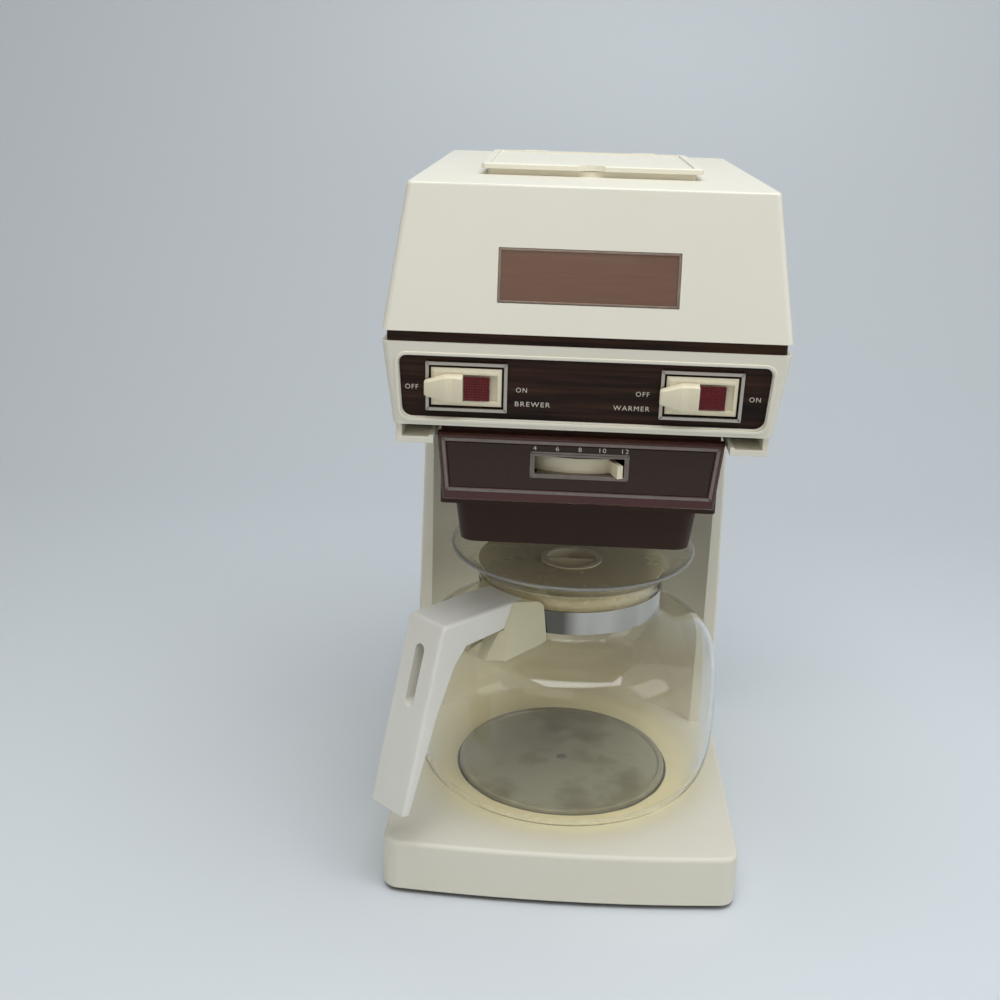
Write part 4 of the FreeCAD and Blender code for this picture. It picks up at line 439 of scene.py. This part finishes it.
# Anodised aluminium: a warm grey metal brushed level.
anodised = empty_material("anodised_aluminium")
place = add_node(anodised, "ShaderNodeTexCoord").outputs["Object"]
brushed = add_node(anodised, "ShaderNodeMapping", inputs={0: place, 3: (20.0, 20.0, 900.0)})
brush_marks = add_node(anodised, "ShaderNodeTexNoise", inputs={"Vector": brushed.outputs[0], "Scale": 1.0})
anodised_rough = add_node(anodised, "ShaderNodeMapRange",
                          inputs={0: brush_marks.outputs[0], 3: 0.28, 4: 0.46})
show(anodised, add_node(anodised, "ShaderNodeBsdfPrincipled", inputs={
    "Base Color": colour("#B7AFA3"), "Metallic": 0.85, "Roughness": anodised_rough.outputs[0]}))

# Ivory ABS: polished by handling, and unevenly yellowed.
ivory = empty_material("moulded_ivory_abs")
place = add_node(ivory, "ShaderNodeTexCoord").outputs["Object"]
age = add_node(ivory, "ShaderNodeTexNoise", inputs={"Vector": place, "Scale": 45.0, "Detail": 3.0})
ivory_tone = add_node(ivory, "ShaderNodeMix", {"data_type": "RGBA"},
                      {0: age.outputs[0], 6: colour("#EBE1C6"), 7: colour("#E3D6B5")})
ivory_rough = add_node(ivory, "ShaderNodeMapRange", inputs={0: age.outputs[0], 3: 0.28, 4: 0.38})
show(ivory, add_node(ivory, "ShaderNodeBsdfPrincipled", inputs={
    "Base Color": ivory_tone.outputs[2], "Roughness": ivory_rough.outputs[0]}))

# Ruby acrylic: a deep red with sharp glints on its ribs.
ruby = empty_material("moulded_ruby_acrylic")
place = add_node(ruby, "ShaderNodeTexCoord").outputs["Object"]
ruby_depth = add_node(ruby, "ShaderNodeTexNoise", inputs={"Vector": place, "Scale": 500.0})
ruby_tone = add_node(ruby, "ShaderNodeMix", {"data_type": "RGBA"},
                     {0: ruby_depth.outputs[0], 6: colour("#4A060C"), 7: colour("#6E0C14")})
show(ruby, add_node(ruby, "ShaderNodeBsdfPrincipled", inputs={
    "Base Color": ruby_tone.outputs[2], "Roughness": 0.14, "Specular IOR Level": 0.3}))


def rectangle(left, right, low, high):
    return [(left, low), (right, low), (left, high), (right, high)]


plate_half_wide, plate_half_tall = 14.8, 8.3
opening_left, opening_right, opening_half = -9.3, 13.1, 5.75


def switch_plate(name, local):
    """A plate whose edges slope up to a flat face round the carriage's opening."""
    piece = flat_start(name, rectangle(-plate_half_wide, plate_half_wide,
                                       -plate_half_tall, plate_half_tall), -0.6)
    bpy.ops.mesh.extrude_region_move(TRANSFORM_OT_translate={"value": (0, -0.6 * mm, 0)})
    bpy.ops.mesh.inset(thickness=1.5 * mm)
    bpy.ops.transform.translate(value=(0, -1.0 * mm, 0))
    bpy.ops.mesh.inset(thickness=0.1 * mm)
    bpy.ops.object.mode_set(mode="OBJECT")
    for vertex in piece.data.vertices:
        if vertex.select:
            vertex.co.x = (opening_right if vertex.co.x > 0 else opening_left) * mm
            vertex.co.z = math.copysign(opening_half, vertex.co.z) * mm
    bpy.ops.object.mode_set(mode="EDIT")
    bpy.ops.mesh.extrude_region_move(TRANSFORM_OT_translate={"value": (0, 1.5 * mm, 0)})
    bpy.ops.mesh.delete(type="FACE")
    bpy.ops.mesh.select_all(action="SELECT")
    bpy.ops.mesh.normals_make_consistent(inside=False)
    bpy.ops.object.mode_set(mode="OBJECT")
    return finished(piece, 0.18, local, ivory, "housing")


paddle_tip, paddle_root, paddle_half = -17.5, -1.3, 6.3
paddle_back, paddle_thick = 2.5, 4.1
tip_flat, taper_start, ridge = -15.0, -8.6, -5.2


def paddle(name, local, body):
    """The paddle narrows to its tip, with a crease along its middle and a finger ridge."""
    piece = flat_start(name, rectangle(paddle_tip, paddle_root, -paddle_half, paddle_half), -paddle_back)
    bpy.ops.mesh.extrude_region_move(TRANSFORM_OT_translate={"value": (0, -paddle_thick * mm, 0)})
    for x in (tip_flat, taper_start, ridge):
        bpy.ops.mesh.select_all(action="SELECT")
        bpy.ops.mesh.bisect(plane_co=(x * mm, 0, 0), plane_no=(1, 0, 0))
    bpy.ops.mesh.select_all(action="SELECT")
    bpy.ops.mesh.bisect(plane_co=(0, 0, 0), plane_no=(0, 0, 1))
    bpy.ops.object.mode_set(mode="OBJECT")
    for vertex in piece.data.vertices:
        x, y, z = vertex.co.x / mm, vertex.co.y / mm, vertex.co.z / mm
        taper = max(0.0, min(1.0, (taper_start - x) / (taper_start - paddle_tip)))
        front = y < -paddle_back - 0.5
        off_crease = abs(z) > 0.1
        z *= 1.0 - 0.48 * taper
        if front and off_crease:
            z *= 0.86
        if front:
            slope = 1.0 if x < ridge - 0.8 else 0.2
            y += 1.5 * taper + (0.75 * slope if off_crease and x > tip_flat + 0.1 else 0.0)
            y += 0.8 if abs(x - ridge) < 0.1 else 0.0
        vertex.co = (x * mm, y * mm, z * mm)
    return finished(piece, 0.45, local, ivory, body, 3, 14)


lens_middle, lens_wide, lens_tall, lens_face = 4.4, 10.9, 10.5, 2.8
pyramids_across, pyramids_up, pyramid_rise = 10, 9, 0.32


def ribbed_lens(name, local, body):
    """A block whose face is moulded in rows of small pyramids."""
    bpy.ops.object.select_all(action="DESELECT")
    bpy.ops.mesh.primitive_grid_add(x_subdivisions=pyramids_across, y_subdivisions=pyramids_up, size=1)
    piece = bpy.context.object
    piece.name = name
    for vertex in piece.data.vertices:
        across_lens = lens_middle + vertex.co.x * lens_wide
        vertex.co = (across_lens * mm, -lens_face * mm, vertex.co.y * lens_tall * mm)
    bpy.ops.object.mode_set(mode="EDIT")
    bpy.ops.mesh.select_all(action="SELECT")
    bpy.ops.mesh.extrude_region_move(TRANSFORM_OT_translate={"value": (0, -0.05 * mm, 0)})
    bpy.ops.mesh.inset(thickness=0.12 * mm, use_individual=True)
    bpy.ops.mesh.poke(offset=pyramid_rise * mm)
    bpy.ops.mesh.select_all(action="SELECT")
    bpy.ops.mesh.normals_make_consistent(inside=False)
    bpy.ops.mesh.select_all(action="DESELECT")
    bpy.ops.mesh.select_non_manifold()
    bpy.ops.mesh.extrude_region_move(TRANSFORM_OT_translate={"value": (0, 6.0 * mm, 0)})
    bpy.ops.object.mode_set(mode="OBJECT")
    return finished(piece, 0, local, ruby, body)


switch_offset = 49.0
for side, name in ((-1, "brewer"), (1, "warmer")):
    body = name + "_switch"
    local = panel_local @ Matrix.Translation((side * switch_offset * mm, 0, 0))
    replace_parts(edging(name + "_frame", rectangle(-17.15, 17.15, -10.8, 10.8), 0.7, 1.4, 1.0, 0.3,
                       local @ Matrix.Translation((0, -0.6 * mm, 0)), anodised, "housing"),
                name + "_switch_frame")
    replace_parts(switch_plate(name + "_plate", local), name + "_switch_plate")
    shield = flat_start(name + "_carriage", rectangle(-9.0, 13.3, -6.2, 6.2), -0.15)
    bpy.ops.mesh.extrude_region_move(TRANSFORM_OT_translate={"value": (0, -0.4 * mm, 0)})
    bpy.ops.object.mode_set(mode="OBJECT")
    finished(shield, 0.1, local, ivory, body)
    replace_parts(paddle(name + "_paddle", local, body), name + "_switch_knob")
    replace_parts(ribbed_lens(name + "_ruby", local, body), name + "_lens")

# ---------------------------------------------------------------- printed words
# The switch words are screen printed on the panel in a warm white ink, in small spaced
# capitals about two millimetres tall.

# Screen ink: a matt warm white, a little thin in places.
ink = empty_material("warm_white_screen_ink")
place = add_node(ink, "ShaderNodeTexCoord").outputs["Object"]
speckle = add_node(ink, "ShaderNodeTexNoise", inputs={"Vector": place, "Scale": 900.0})
ink_tone = add_node(ink, "ShaderNodeMix", {"data_type": "RGBA"},
                    {0: speckle.outputs[0], 6: colour("#DCD5C6"), 7: colour("#C9C1B0")})
show(ink, add_node(ink, "ShaderNodeBsdfPrincipled",
                   inputs={"Base Color": ink_tone.outputs[2], "Roughness": 0.5}))


def printed(text, left, right, low, high, local, body):
    """A word as a thin layer of ink that fills a box on the surface."""
    bpy.ops.object.select_all(action="DESELECT")
    bpy.ops.object.text_add()
    piece = bpy.context.object
    piece.name = "ink_" + text
    piece.data.body = text
    piece.data.size = 1.0
    piece.data.space_character = 1.22
    piece.data.extrude = 0.01
    piece.data.resolution_u = 4
    bpy.ops.object.convert(target="MESH")
    piece = bpy.context.object
    spots = [vertex.co.copy() for vertex in piece.data.vertices]
    x0, x1 = min(p.x for p in spots), max(p.x for p in spots)
    y0, y1 = min(p.y for p in spots), max(p.y for p in spots)
    for vertex in piece.data.vertices:
        u = left + (vertex.co.x - x0) / (x1 - x0) * (right - left)
        v = low + (vertex.co.y - y0) / (y1 - y0) * (high - low)
        vertex.co = (u * mm, (-0.05 - vertex.co.z * 2.5) * mm, v * mm)
    piece.data.materials.clear()
    piece.data.materials.append(ink)
    piece.data.transform(local)
    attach(piece, body)
    return piece


for text, left, right, low, high in (
        ("OFF", -74.9, -69.4, 261.5, 263.6), ("ON", -28.2, -23.6, 261.7, 263.8),
        ("BREWER", -28.5, -13.7, 255.5, 257.6), ("OFF", 21.9, 27.5, 262.0, 264.1),
        ("WARMER", 12.8, 28.0, 255.5, 257.6), ("ON", 69.0, 73.7, 261.5, 263.6)):
    printed(text, left, right, low - switch_height, high - switch_height, panel_local, "housing")

# ---------------------------------------------------------------- name plate
# A stamped brown lacquered plate in a shallow pocket of the shroud, glued in. It has a thin
# raised rim and its field is bare.

# Brown lacquer on metal: fine level lines under a clear coat.
lacquer = empty_material("brown_lacquered_plate")
place = add_node(lacquer, "ShaderNodeTexCoord").outputs["Object"]
lacquer_flow = add_node(lacquer, "ShaderNodeMapping", inputs={0: place, 3: (40.0, 40.0, 900.0)})
lines = add_node(lacquer, "ShaderNodeTexNoise",
                 inputs={"Vector": lacquer_flow.outputs[0], "Scale": 1.0, "Detail": 3.0})
lacquer_tone = add_node(lacquer, "ShaderNodeMix", {"data_type": "RGBA"},
                        {0: lines.outputs[0], 6: colour("#644636"), 7: colour("#755442")})
lacquer_rough = add_node(lacquer, "ShaderNodeMapRange", inputs={0: lines.outputs[0], 3: 0.3, 4: 0.42})
show(lacquer, add_node(lacquer, "ShaderNodeBsdfPrincipled", inputs={
    "Base Color": lacquer_tone.outputs[2], "Metallic": 0.35, "Roughness": lacquer_rough.outputs[0],
    "Coat Weight": 0.3}))

# Bronze rim: rubbed brighter on its high spots.
bronze = empty_material("worn_bronze_rim")
place = add_node(bronze, "ShaderNodeTexCoord").outputs["Object"]
rub = add_node(bronze, "ShaderNodeTexNoise", inputs={"Vector": place, "Scale": 220.0, "Detail": 3.0})
bronze_tone = add_node(bronze, "ShaderNodeMix", {"data_type": "RGBA"},
                       {0: rub.outputs[0], 6: colour("#6E5A4E"), 7: colour("#A08E80")})
show(bronze, add_node(bronze, "ShaderNodeBsdfPrincipled", inputs={
    "Base Color": bronze_tone.outputs[2], "Metallic": 0.6, "Roughness": 0.36}))
finish_in(lacquer, "name_plate")
shroud_draft, shroud_tall = 10.0, 59.2
badge_front, badge_height, badge_sunk = 104.02, 310.55, 0.5
badge_half_wide, badge_half_tall = 36.8, 10.85
badge_local = (Matrix.Translation((0, -badge_front * mm, badge_height * mm))
               @ Matrix.Rotation(-math.atan2(shroud_draft, shroud_tall), 4, "X")
               @ Matrix.Translation((0, badge_sunk * mm, 0)))
edging("name_plate_rim", rectangle(-badge_half_wide, badge_half_wide, -badge_half_tall, badge_half_tall),
       0.5, 0.8, 0.55, 0.2, badge_local, bronze, "housing")

# ---------------------------------------------------------------- brew basket and its front
# The basket is dark brown polypropylene and its front is polished red-brown ABS with a
# matt brown inlay. A grey foil line runs round the inlay and a grey frame holds the slot.

# Cocoa polypropylene: fine grained and dull.
cocoa = empty_material("moulded_cocoa_polypropylene")
place = add_node(cocoa, "ShaderNodeTexCoord").outputs["Object"]
cocoa_flow = add_node(cocoa, "ShaderNodeTexNoise", inputs={"Vector": place, "Scale": 30.0, "Detail": 3.0})
cocoa_tone = add_node(cocoa, "ShaderNodeMix", {"data_type": "RGBA"},
                      {0: cocoa_flow.outputs[0], 6: colour("#33231B"), 7: colour("#3D2A21")})
cocoa_grain = add_node(cocoa, "ShaderNodeTexNoise", inputs={"Vector": place, "Scale": 1500.0})
cocoa_bump = add_node(cocoa, "ShaderNodeBump",
                      inputs={"Height": cocoa_grain.outputs[0], "Strength": 0.15, "Distance": 0.0002})
show(cocoa, add_node(cocoa, "ShaderNodeBsdfPrincipled", inputs={
    "Base Color": cocoa_tone.outputs[2], "Roughness": 0.45, "Specular IOR Level": 0.16,
    "Normal": cocoa_bump.outputs[0]}))

# Chestnut ABS: polished, with sharp reflections along its edges.
chestnut = empty_material("polished_chestnut_abs")
place = add_node(chestnut, "ShaderNodeTexCoord").outputs["Object"]
chestnut_flow = add_node(chestnut, "ShaderNodeTexNoise",
                         inputs={"Vector": place, "Scale": 60.0, "Detail": 3.0})
chestnut_tone = add_node(chestnut, "ShaderNodeMix", {"data_type": "RGBA"},
                         {0: chestnut_flow.outputs[0], 6: colour("#42201A"), 7: colour("#4F2720")})
chestnut_rough = add_node(chestnut, "ShaderNodeMapRange",
                          inputs={0: chestnut_flow.outputs[0], 3: 0.14, 4: 0.26})
show(chestnut, add_node(chestnut, "ShaderNodeBsdfPrincipled", inputs={
    "Base Color": chestnut_tone.outputs[2], "Roughness": chestnut_rough.outputs[0],
    "Specular IOR Level": 0.4}))

# Umber inlay: a matt printed film.
umber = empty_material("matt_umber_inlay")
place = add_node(umber, "ShaderNodeTexCoord").outputs["Object"]
umber_speck = add_node(umber, "ShaderNodeTexNoise", inputs={"Vector": place, "Scale": 1100.0, "Detail": 2.0})
umber_tone = add_node(umber, "ShaderNodeMix", {"data_type": "RGBA"},
                      {0: umber_speck.outputs[0], 6: colour("#352720"), 7: colour("#41322A")})
show(umber, add_node(umber, "ShaderNodeBsdfPrincipled", inputs={
    "Base Color": umber_tone.outputs[2], "Roughness": 0.5, "Specular IOR Level": 0.2}))

# Hot-stamped foil: a dull grey metal, worn in spots.
foil = empty_material("grey_hot_stamped_foil")
place = add_node(foil, "ShaderNodeTexCoord").outputs["Object"]
foil_wear = add_node(foil, "ShaderNodeTexNoise", inputs={"Vector": place, "Scale": 300.0, "Detail": 3.0})
foil_tone = add_node(foil, "ShaderNodeMix", {"data_type": "RGBA"},
                     {0: foil_wear.outputs[0], 6: colour("#6F645D"), 7: colour("#8B8078")})
show(foil, add_node(foil, "ShaderNodeBsdfPrincipled", inputs={
    "Base Color": foil_tone.outputs[2], "Metallic": 0.7, "Roughness": 0.4}))

softened("basket_body", "basket", cocoa, 0.5)
softened("basket_front", "basket", chestnut, 0.35)
finish_in(umber, "basket_inset")
finish_in(foil, "slot_frame")
# The basket's front leans outwards as it rises. Its foil lines and numbers are placed from
# its low edge.
drawer_front, drawer_low, drawer_tall, drawer_draft = 93.0, 209.3, 31.4, 3.0
drawer_local = (Matrix.Translation((0, -drawer_front * mm, drawer_low * mm))
                @ Matrix.Rotation(math.atan2(drawer_draft, drawer_tall), 4, "X"))
inlay_local = drawer_local @ Matrix.Translation((0, 0.2 * mm, 0))
edging("inlay_foil", [(-58.1, 4.7), (58.1, 4.7), (-60.1, 29.5), (60.1, 29.5)], 0.3, 1.4, 0.12, 0.03,
       drawer_local, foil, "basket")
edging("slot_foil", rectangle(-21.4, 21.4, 12.4, 24.8), 0.3, 1.0, 0.3, 0.08,
       inlay_local, foil, "basket")
first_number, number_step = -19.5, 9.75
number_low, number_high = 25.3, 27.3
for index, text in enumerate(("4", "6", "8", "10", "12")):
    middle = first_number + number_step * index
    half = 0.7 if len(text) == 1 else 1.45
    printed(text, middle - half, middle + half, number_low, number_high, inlay_local, "basket")

# ---------------------------------------------------------------- saver lever
# A curved ivory lever turns on a steel pin inside the basket and shows through the slot. Its
# tab stands at the largest number.

softened("saver_lever", "saver_lever", ivory, 0.3)

# ---------------------------------------------------------------- warmer plate
# The warmer is pressed sheet steel in a baked grey non-stick coat, clamped up against the
# base from below. Burnt drips have stained it, and a rivet head shows at its middle.

# Baked non-stick coat: speckled grey, with brown stains some centimetres wide that are duller.
enamel = empty_material("baked_grey_nonstick_coat")
place = add_node(enamel, "ShaderNodeTexCoord").outputs["Object"]
burnt = add_node(enamel, "ShaderNodeTexNoise",
                 inputs={"Vector": place, "Scale": 24.0, "Detail": 5.0, "Roughness": 0.6})
burnt_share = add_node(enamel, "ShaderNodeMapRange", inputs={0: burnt.outputs[0], 1: 0.47, 2: 0.62})
speckle = add_node(enamel, "ShaderNodeTexNoise", inputs={"Vector": place, "Scale": 800.0, "Detail": 2.0})
enamel_base = add_node(enamel, "ShaderNodeMix", {"data_type": "RGBA"},
                       {0: speckle.outputs[0], 6: colour("#8A8779"), 7: colour("#98958A")})
enamel_tone = add_node(enamel, "ShaderNodeMix", {"data_type": "RGBA"},
                       {0: burnt_share.outputs[0], 6: enamel_base.outputs[2], 7: colour("#6F6A5A")})
enamel_rough = add_node(enamel, "ShaderNodeMapRange", inputs={0: burnt_share.outputs[0], 3: 0.38, 4: 0.6})
show(enamel, add_node(enamel, "ShaderNodeBsdfPrincipled", inputs={
    "Base Color": enamel_tone.outputs[2], "Roughness": enamel_rough.outputs[0]}))
softened("warmer_plate", "housing", enamel, 0.3)


def spun(name, outline, steps, smooth=0):
    """A closed round shape: its outline of (radius, height) points spun about the Z axis."""
    bpy.ops.object.select_all(action="DESELECT")
    bpy.ops.mesh.primitive_plane_add(size=1)
    piece = bpy.context.object
    piece.name = name
    bpy.ops.object.mode_set(mode="EDIT")
    bpy.ops.mesh.select_mode(type="VERT")
    bpy.ops.mesh.select_all(action="SELECT")
    bpy.ops.mesh.merge(type="CENTER")
    at = (0.0, 0.0)
    for index, (radius, height) in enumerate(outline):
        step = ((radius - at[0]) * mm, 0, (height - at[1]) * mm)
        if index:
            bpy.ops.mesh.extrude_region_move(TRANSFORM_OT_translate={"value": step})
        else:
            bpy.ops.transform.translate(value=step)
        at = (radius, height)
    bpy.ops.mesh.select_all(action="SELECT")
    bpy.ops.mesh.spin(steps=steps, angle=2 * math.pi, center=(0, 0, 0), axis=(0, 0, 1))
    bpy.ops.mesh.select_all(action="SELECT")
    bpy.ops.mesh.remove_doubles(threshold=0.00002)
    bpy.ops.mesh.normals_make_consistent(inside=False)
    bpy.ops.object.mode_set(mode="OBJECT")
    if smooth:
        rounding = piece.modifiers.new("rounding", "SUBSURF")
        rounding.levels = rounding.render_levels = smooth
        bpy.ops.object.modifier_apply(modifier=rounding.name)
    bpy.ops.object.shade_smooth_by_angle(angle=math.radians(40))
    return piece


def set_on(piece, height, material, body):
    """Lifts a spun piece to its height and lets it ride on its body."""
    piece.data.transform(Matrix.Translation((0, 0, height * mm)))
    piece.data.materials.clear()
    piece.data.materials.append(material)
    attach(piece, body)
    return piece


plate_top = 29.4
rivet = spun("warmer_rivet", [(0, -0.4), (3.0, -0.4), (3.1, 0.0), (2.5, 0.35), (1.4, 0.5), (0, 0.55)], 32)
set_on(rivet, plate_top, zinc, "housing")

# ---------------------------------------------------------------- carafe glass
# The carafe is blown borosilicate glass, a little over two millimetres thick, and its rim is
# fire polished. Years of coffee have left a faint warm tint.

# Clear glass lets the lamps' light through to what stands behind it. A pale diffuse layer at
# the rim is a painted highlight, standing in for the bright light along the rim bead.
rim_clear, rim_lit = 0.1545, 0.1575
glass = empty_material("blown_borosilicate_glass")
place = add_node(glass, "ShaderNodeTexCoord").outputs["Object"]
tint = add_node(glass, "ShaderNodeTexNoise", inputs={"Vector": place, "Scale": 18.0, "Detail": 2.0})
glass_tone = add_node(glass, "ShaderNodeMix", {"data_type": "RGBA"},
                      {0: tint.outputs[0], 6: colour("#FEFDF9"), 7: colour("#FBF9F0")})
clear = add_node(glass, "ShaderNodeBsdfPrincipled", inputs={
    "Base Color": glass_tone.outputs[2], "Roughness": 0.015, "IOR": 1.4, "Transmission Weight": 1.0})
# Painted highlight on the rim: a pale diffuse layer mixed into the glass near its top.
rim_highlight = add_node(glass, "ShaderNodeBsdfPrincipled",
                inputs={"Base Color": colour("#F3EFE2"), "Roughness": 0.2})
height = add_node(glass, "ShaderNodeSeparateXYZ", inputs={0: place}).outputs[2]
rim_share = add_node(glass, "ShaderNodeMapRange",
                     inputs={0: height, 1: rim_clear, 2: rim_lit, 3: 0.0, 4: 0.4})
clear = add_node(glass, "ShaderNodeMixShader",
                 inputs={0: rim_share.outputs[0], 1: clear.outputs[0], 2: rim_highlight.outputs[0]})
lit = add_node(glass, "ShaderNodeBsdfTransparent", inputs={0: colour("#FBFAF5")})
lamp_ray = add_node(glass, "ShaderNodeLightPath")
show(glass, add_node(glass, "ShaderNodeMixShader",
                     inputs={0: lamp_ray.outputs["Is Shadow Ray"], 1: clear.outputs[0], 2: lit.outputs[0]}))

# The outline goes up the outside from the middle of the foot, over the rim, and down the
# inside. One subdivision makes curves of it.
foot_height = 30.8
foot = [(0, 0), (40, 0), (66, 0), (71.5, 1.2), (75.5, 4.6)]
belly = [(78.4, 11), (80.2, 24), (80.55, 41), (80.2, 56), (78.4, 70.5), (75.4, 79.6)]
shoulder = [(67.5, 85.2), (53.5, 89.6), (48.9, 92.7)]
neck = [(47.2, 95.6), (47.2, 101.6), (47.2, 107.6)]
flare = [(51.6, 117.2), (58.3, 122.2), (62.6, 124.9)]
rim = [(63.4, 125.8), (63.3, 126.7), (62.4, 127.0), (61.3, 126.5)]
flare_inside = [(57.0, 123.8), (49.9, 118.4)]
neck_inside = [(45.0, 108.2), (45.0, 101.6), (45.0, 95.4)]
shoulder_inside = [(46.9, 91.1), (52.6, 87.4), (66.4, 83.1)]
belly_inside = [(73.4, 78.0), (76.2, 69.6), (78.0, 55.8), (78.35, 41), (78.0, 24.3), (76.2, 11.9)]
foot_inside = [(73.6, 6.2), (70.0, 3.3), (65.0, 2.3), (40, 2.2), (0, 2.2)]
outside = foot + belly + shoulder + neck + flare + rim
inside = flare_inside + neck_inside + shoulder_inside + belly_inside + foot_inside
jug = spun("carafe_jug", outside + inside, 96, 1)
set_on(jug, foot_height, glass, "carafe")
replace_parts(jug, "carafe_glass")

# ---------------------------------------------------------------- carafe band and handle
# A rolled stainless steel band clamps round the neck. A yellowed ivory bracket fills the
# corner under the white handle, and one screw draws both against the band's lug.

# Rolled stainless steel: bright, with painted reflections: soft dark and light stripes a few
# centimetres wide round the band stand in for the dark and bright surroundings it mirrors.
bright_steel = empty_material("rolled_bright_stainless_steel")
place = add_node(bright_steel, "ShaderNodeTexCoord").outputs["Object"]
stripe_way = add_node(bright_steel, "ShaderNodeMapping", inputs={0: place, 3: (30.0, 30.0, 1.5)})
reflection_stripes = add_node(bright_steel, "ShaderNodeTexNoise",
                  inputs={"Vector": stripe_way.outputs[0], "Scale": 1.0, "Detail": 2.0})
reflection_share = add_node(bright_steel, "ShaderNodeMapRange", inputs={0: reflection_stripes.outputs[0], 1: 0.42, 2: 0.58})
# Painted reflection: the dark and the light colour stand in for surroundings the steel mirrors.
painted_reflection_tone = add_node(bright_steel, "ShaderNodeMix", {"data_type": "RGBA"},
                      {0: reflection_share.outputs[0], 6: colour("#5C5954"), 7: colour("#B4B1A9")})
show(bright_steel, add_node(bright_steel, "ShaderNodeBsdfPrincipled", inputs={
    "Base Color": painted_reflection_tone.outputs[2], "Metallic": 1.0, "Roughness": 0.12}))

# White ABS: a warm white with a satin gloss.
white_abs = empty_material("moulded_white_abs")
place = add_node(white_abs, "ShaderNodeTexCoord").outputs["Object"]
white_cloud = add_node(white_abs, "ShaderNodeTexNoise",
                       inputs={"Vector": place, "Scale": 26.0, "Detail": 3.0})
white_tone = add_node(white_abs, "ShaderNodeMix", {"data_type": "RGBA"},
                      {0: white_cloud.outputs[0], 6: colour("#E9E6DD"), 7: colour("#E0DCD0")})
white_rough = add_node(white_abs, "ShaderNodeMapRange",
                       inputs={0: white_cloud.outputs[0], 3: 0.27, 4: 0.36})
show(white_abs, add_node(white_abs, "ShaderNodeBsdfPrincipled", inputs={
    "Base Color": white_tone.outputs[2], "Roughness": white_rough.outputs[0]}))

# Ivory polypropylene: yellowed by heat, and light spreads a few millimetres into it.
yellowed = empty_material("yellowed_ivory_polypropylene")
place = add_node(yellowed, "ShaderNodeTexCoord").outputs["Object"]
stain = add_node(yellowed, "ShaderNodeTexNoise", inputs={"Vector": place, "Scale": 40.0, "Detail": 3.0})
yellowed_tone = add_node(yellowed, "ShaderNodeMix", {"data_type": "RGBA"},
                         {0: stain.outputs[0], 6: colour("#D8D2B6"), 7: colour("#CBC3A0")})
show(yellowed, add_node(yellowed, "ShaderNodeBsdfPrincipled", inputs={
    "Base Color": yellowed_tone.outputs[2], "Roughness": 0.3, "Subsurface Weight": 0.2,
    "Subsurface Radius": (0.004, 0.003, 0.0015), "Subsurface Scale": 1.0}))

softened("carafe_band", "carafe", bright_steel, 0.2)
softened("handle_bracket", "carafe", yellowed, 0.5)
softened("carafe_handle", "carafe", white_abs, 0.8, 3)

# ---------------------------------------------------------------- carafe lid and its grip
# The lid is one thin translucent moulding that drops into the neck. Its ivory grip is a
# round cup with a bar across it, pressed in at the middle.

# Beige polypropylene: thin enough to let some light through.
smoked = empty_material("translucent_beige_polypropylene")
place = add_node(smoked, "ShaderNodeTexCoord").outputs["Object"]
smoke = add_node(smoked, "ShaderNodeTexNoise", inputs={"Vector": place, "Scale": 30.0, "Detail": 3.0})
smoked_tone = add_node(smoked, "ShaderNodeMix", {"data_type": "RGBA"},
                       {0: smoke.outputs[0], 6: colour("#DFD3AF"), 7: colour("#D1C49D")})
smoked_rough = add_node(smoked, "ShaderNodeMapRange", inputs={0: smoke.outputs[0], 3: 0.22, 4: 0.32})
show(smoked, add_node(smoked, "ShaderNodeBsdfPrincipled", inputs={
    "Base Color": smoked_tone.outputs[2], "Roughness": smoked_rough.outputs[0], "Transmission Weight": 0.1}))
softened("carafe_lid", "carafe_lid", smoked, 0.3)
softened("lid_grip", "carafe_lid", ivory, 0.2)
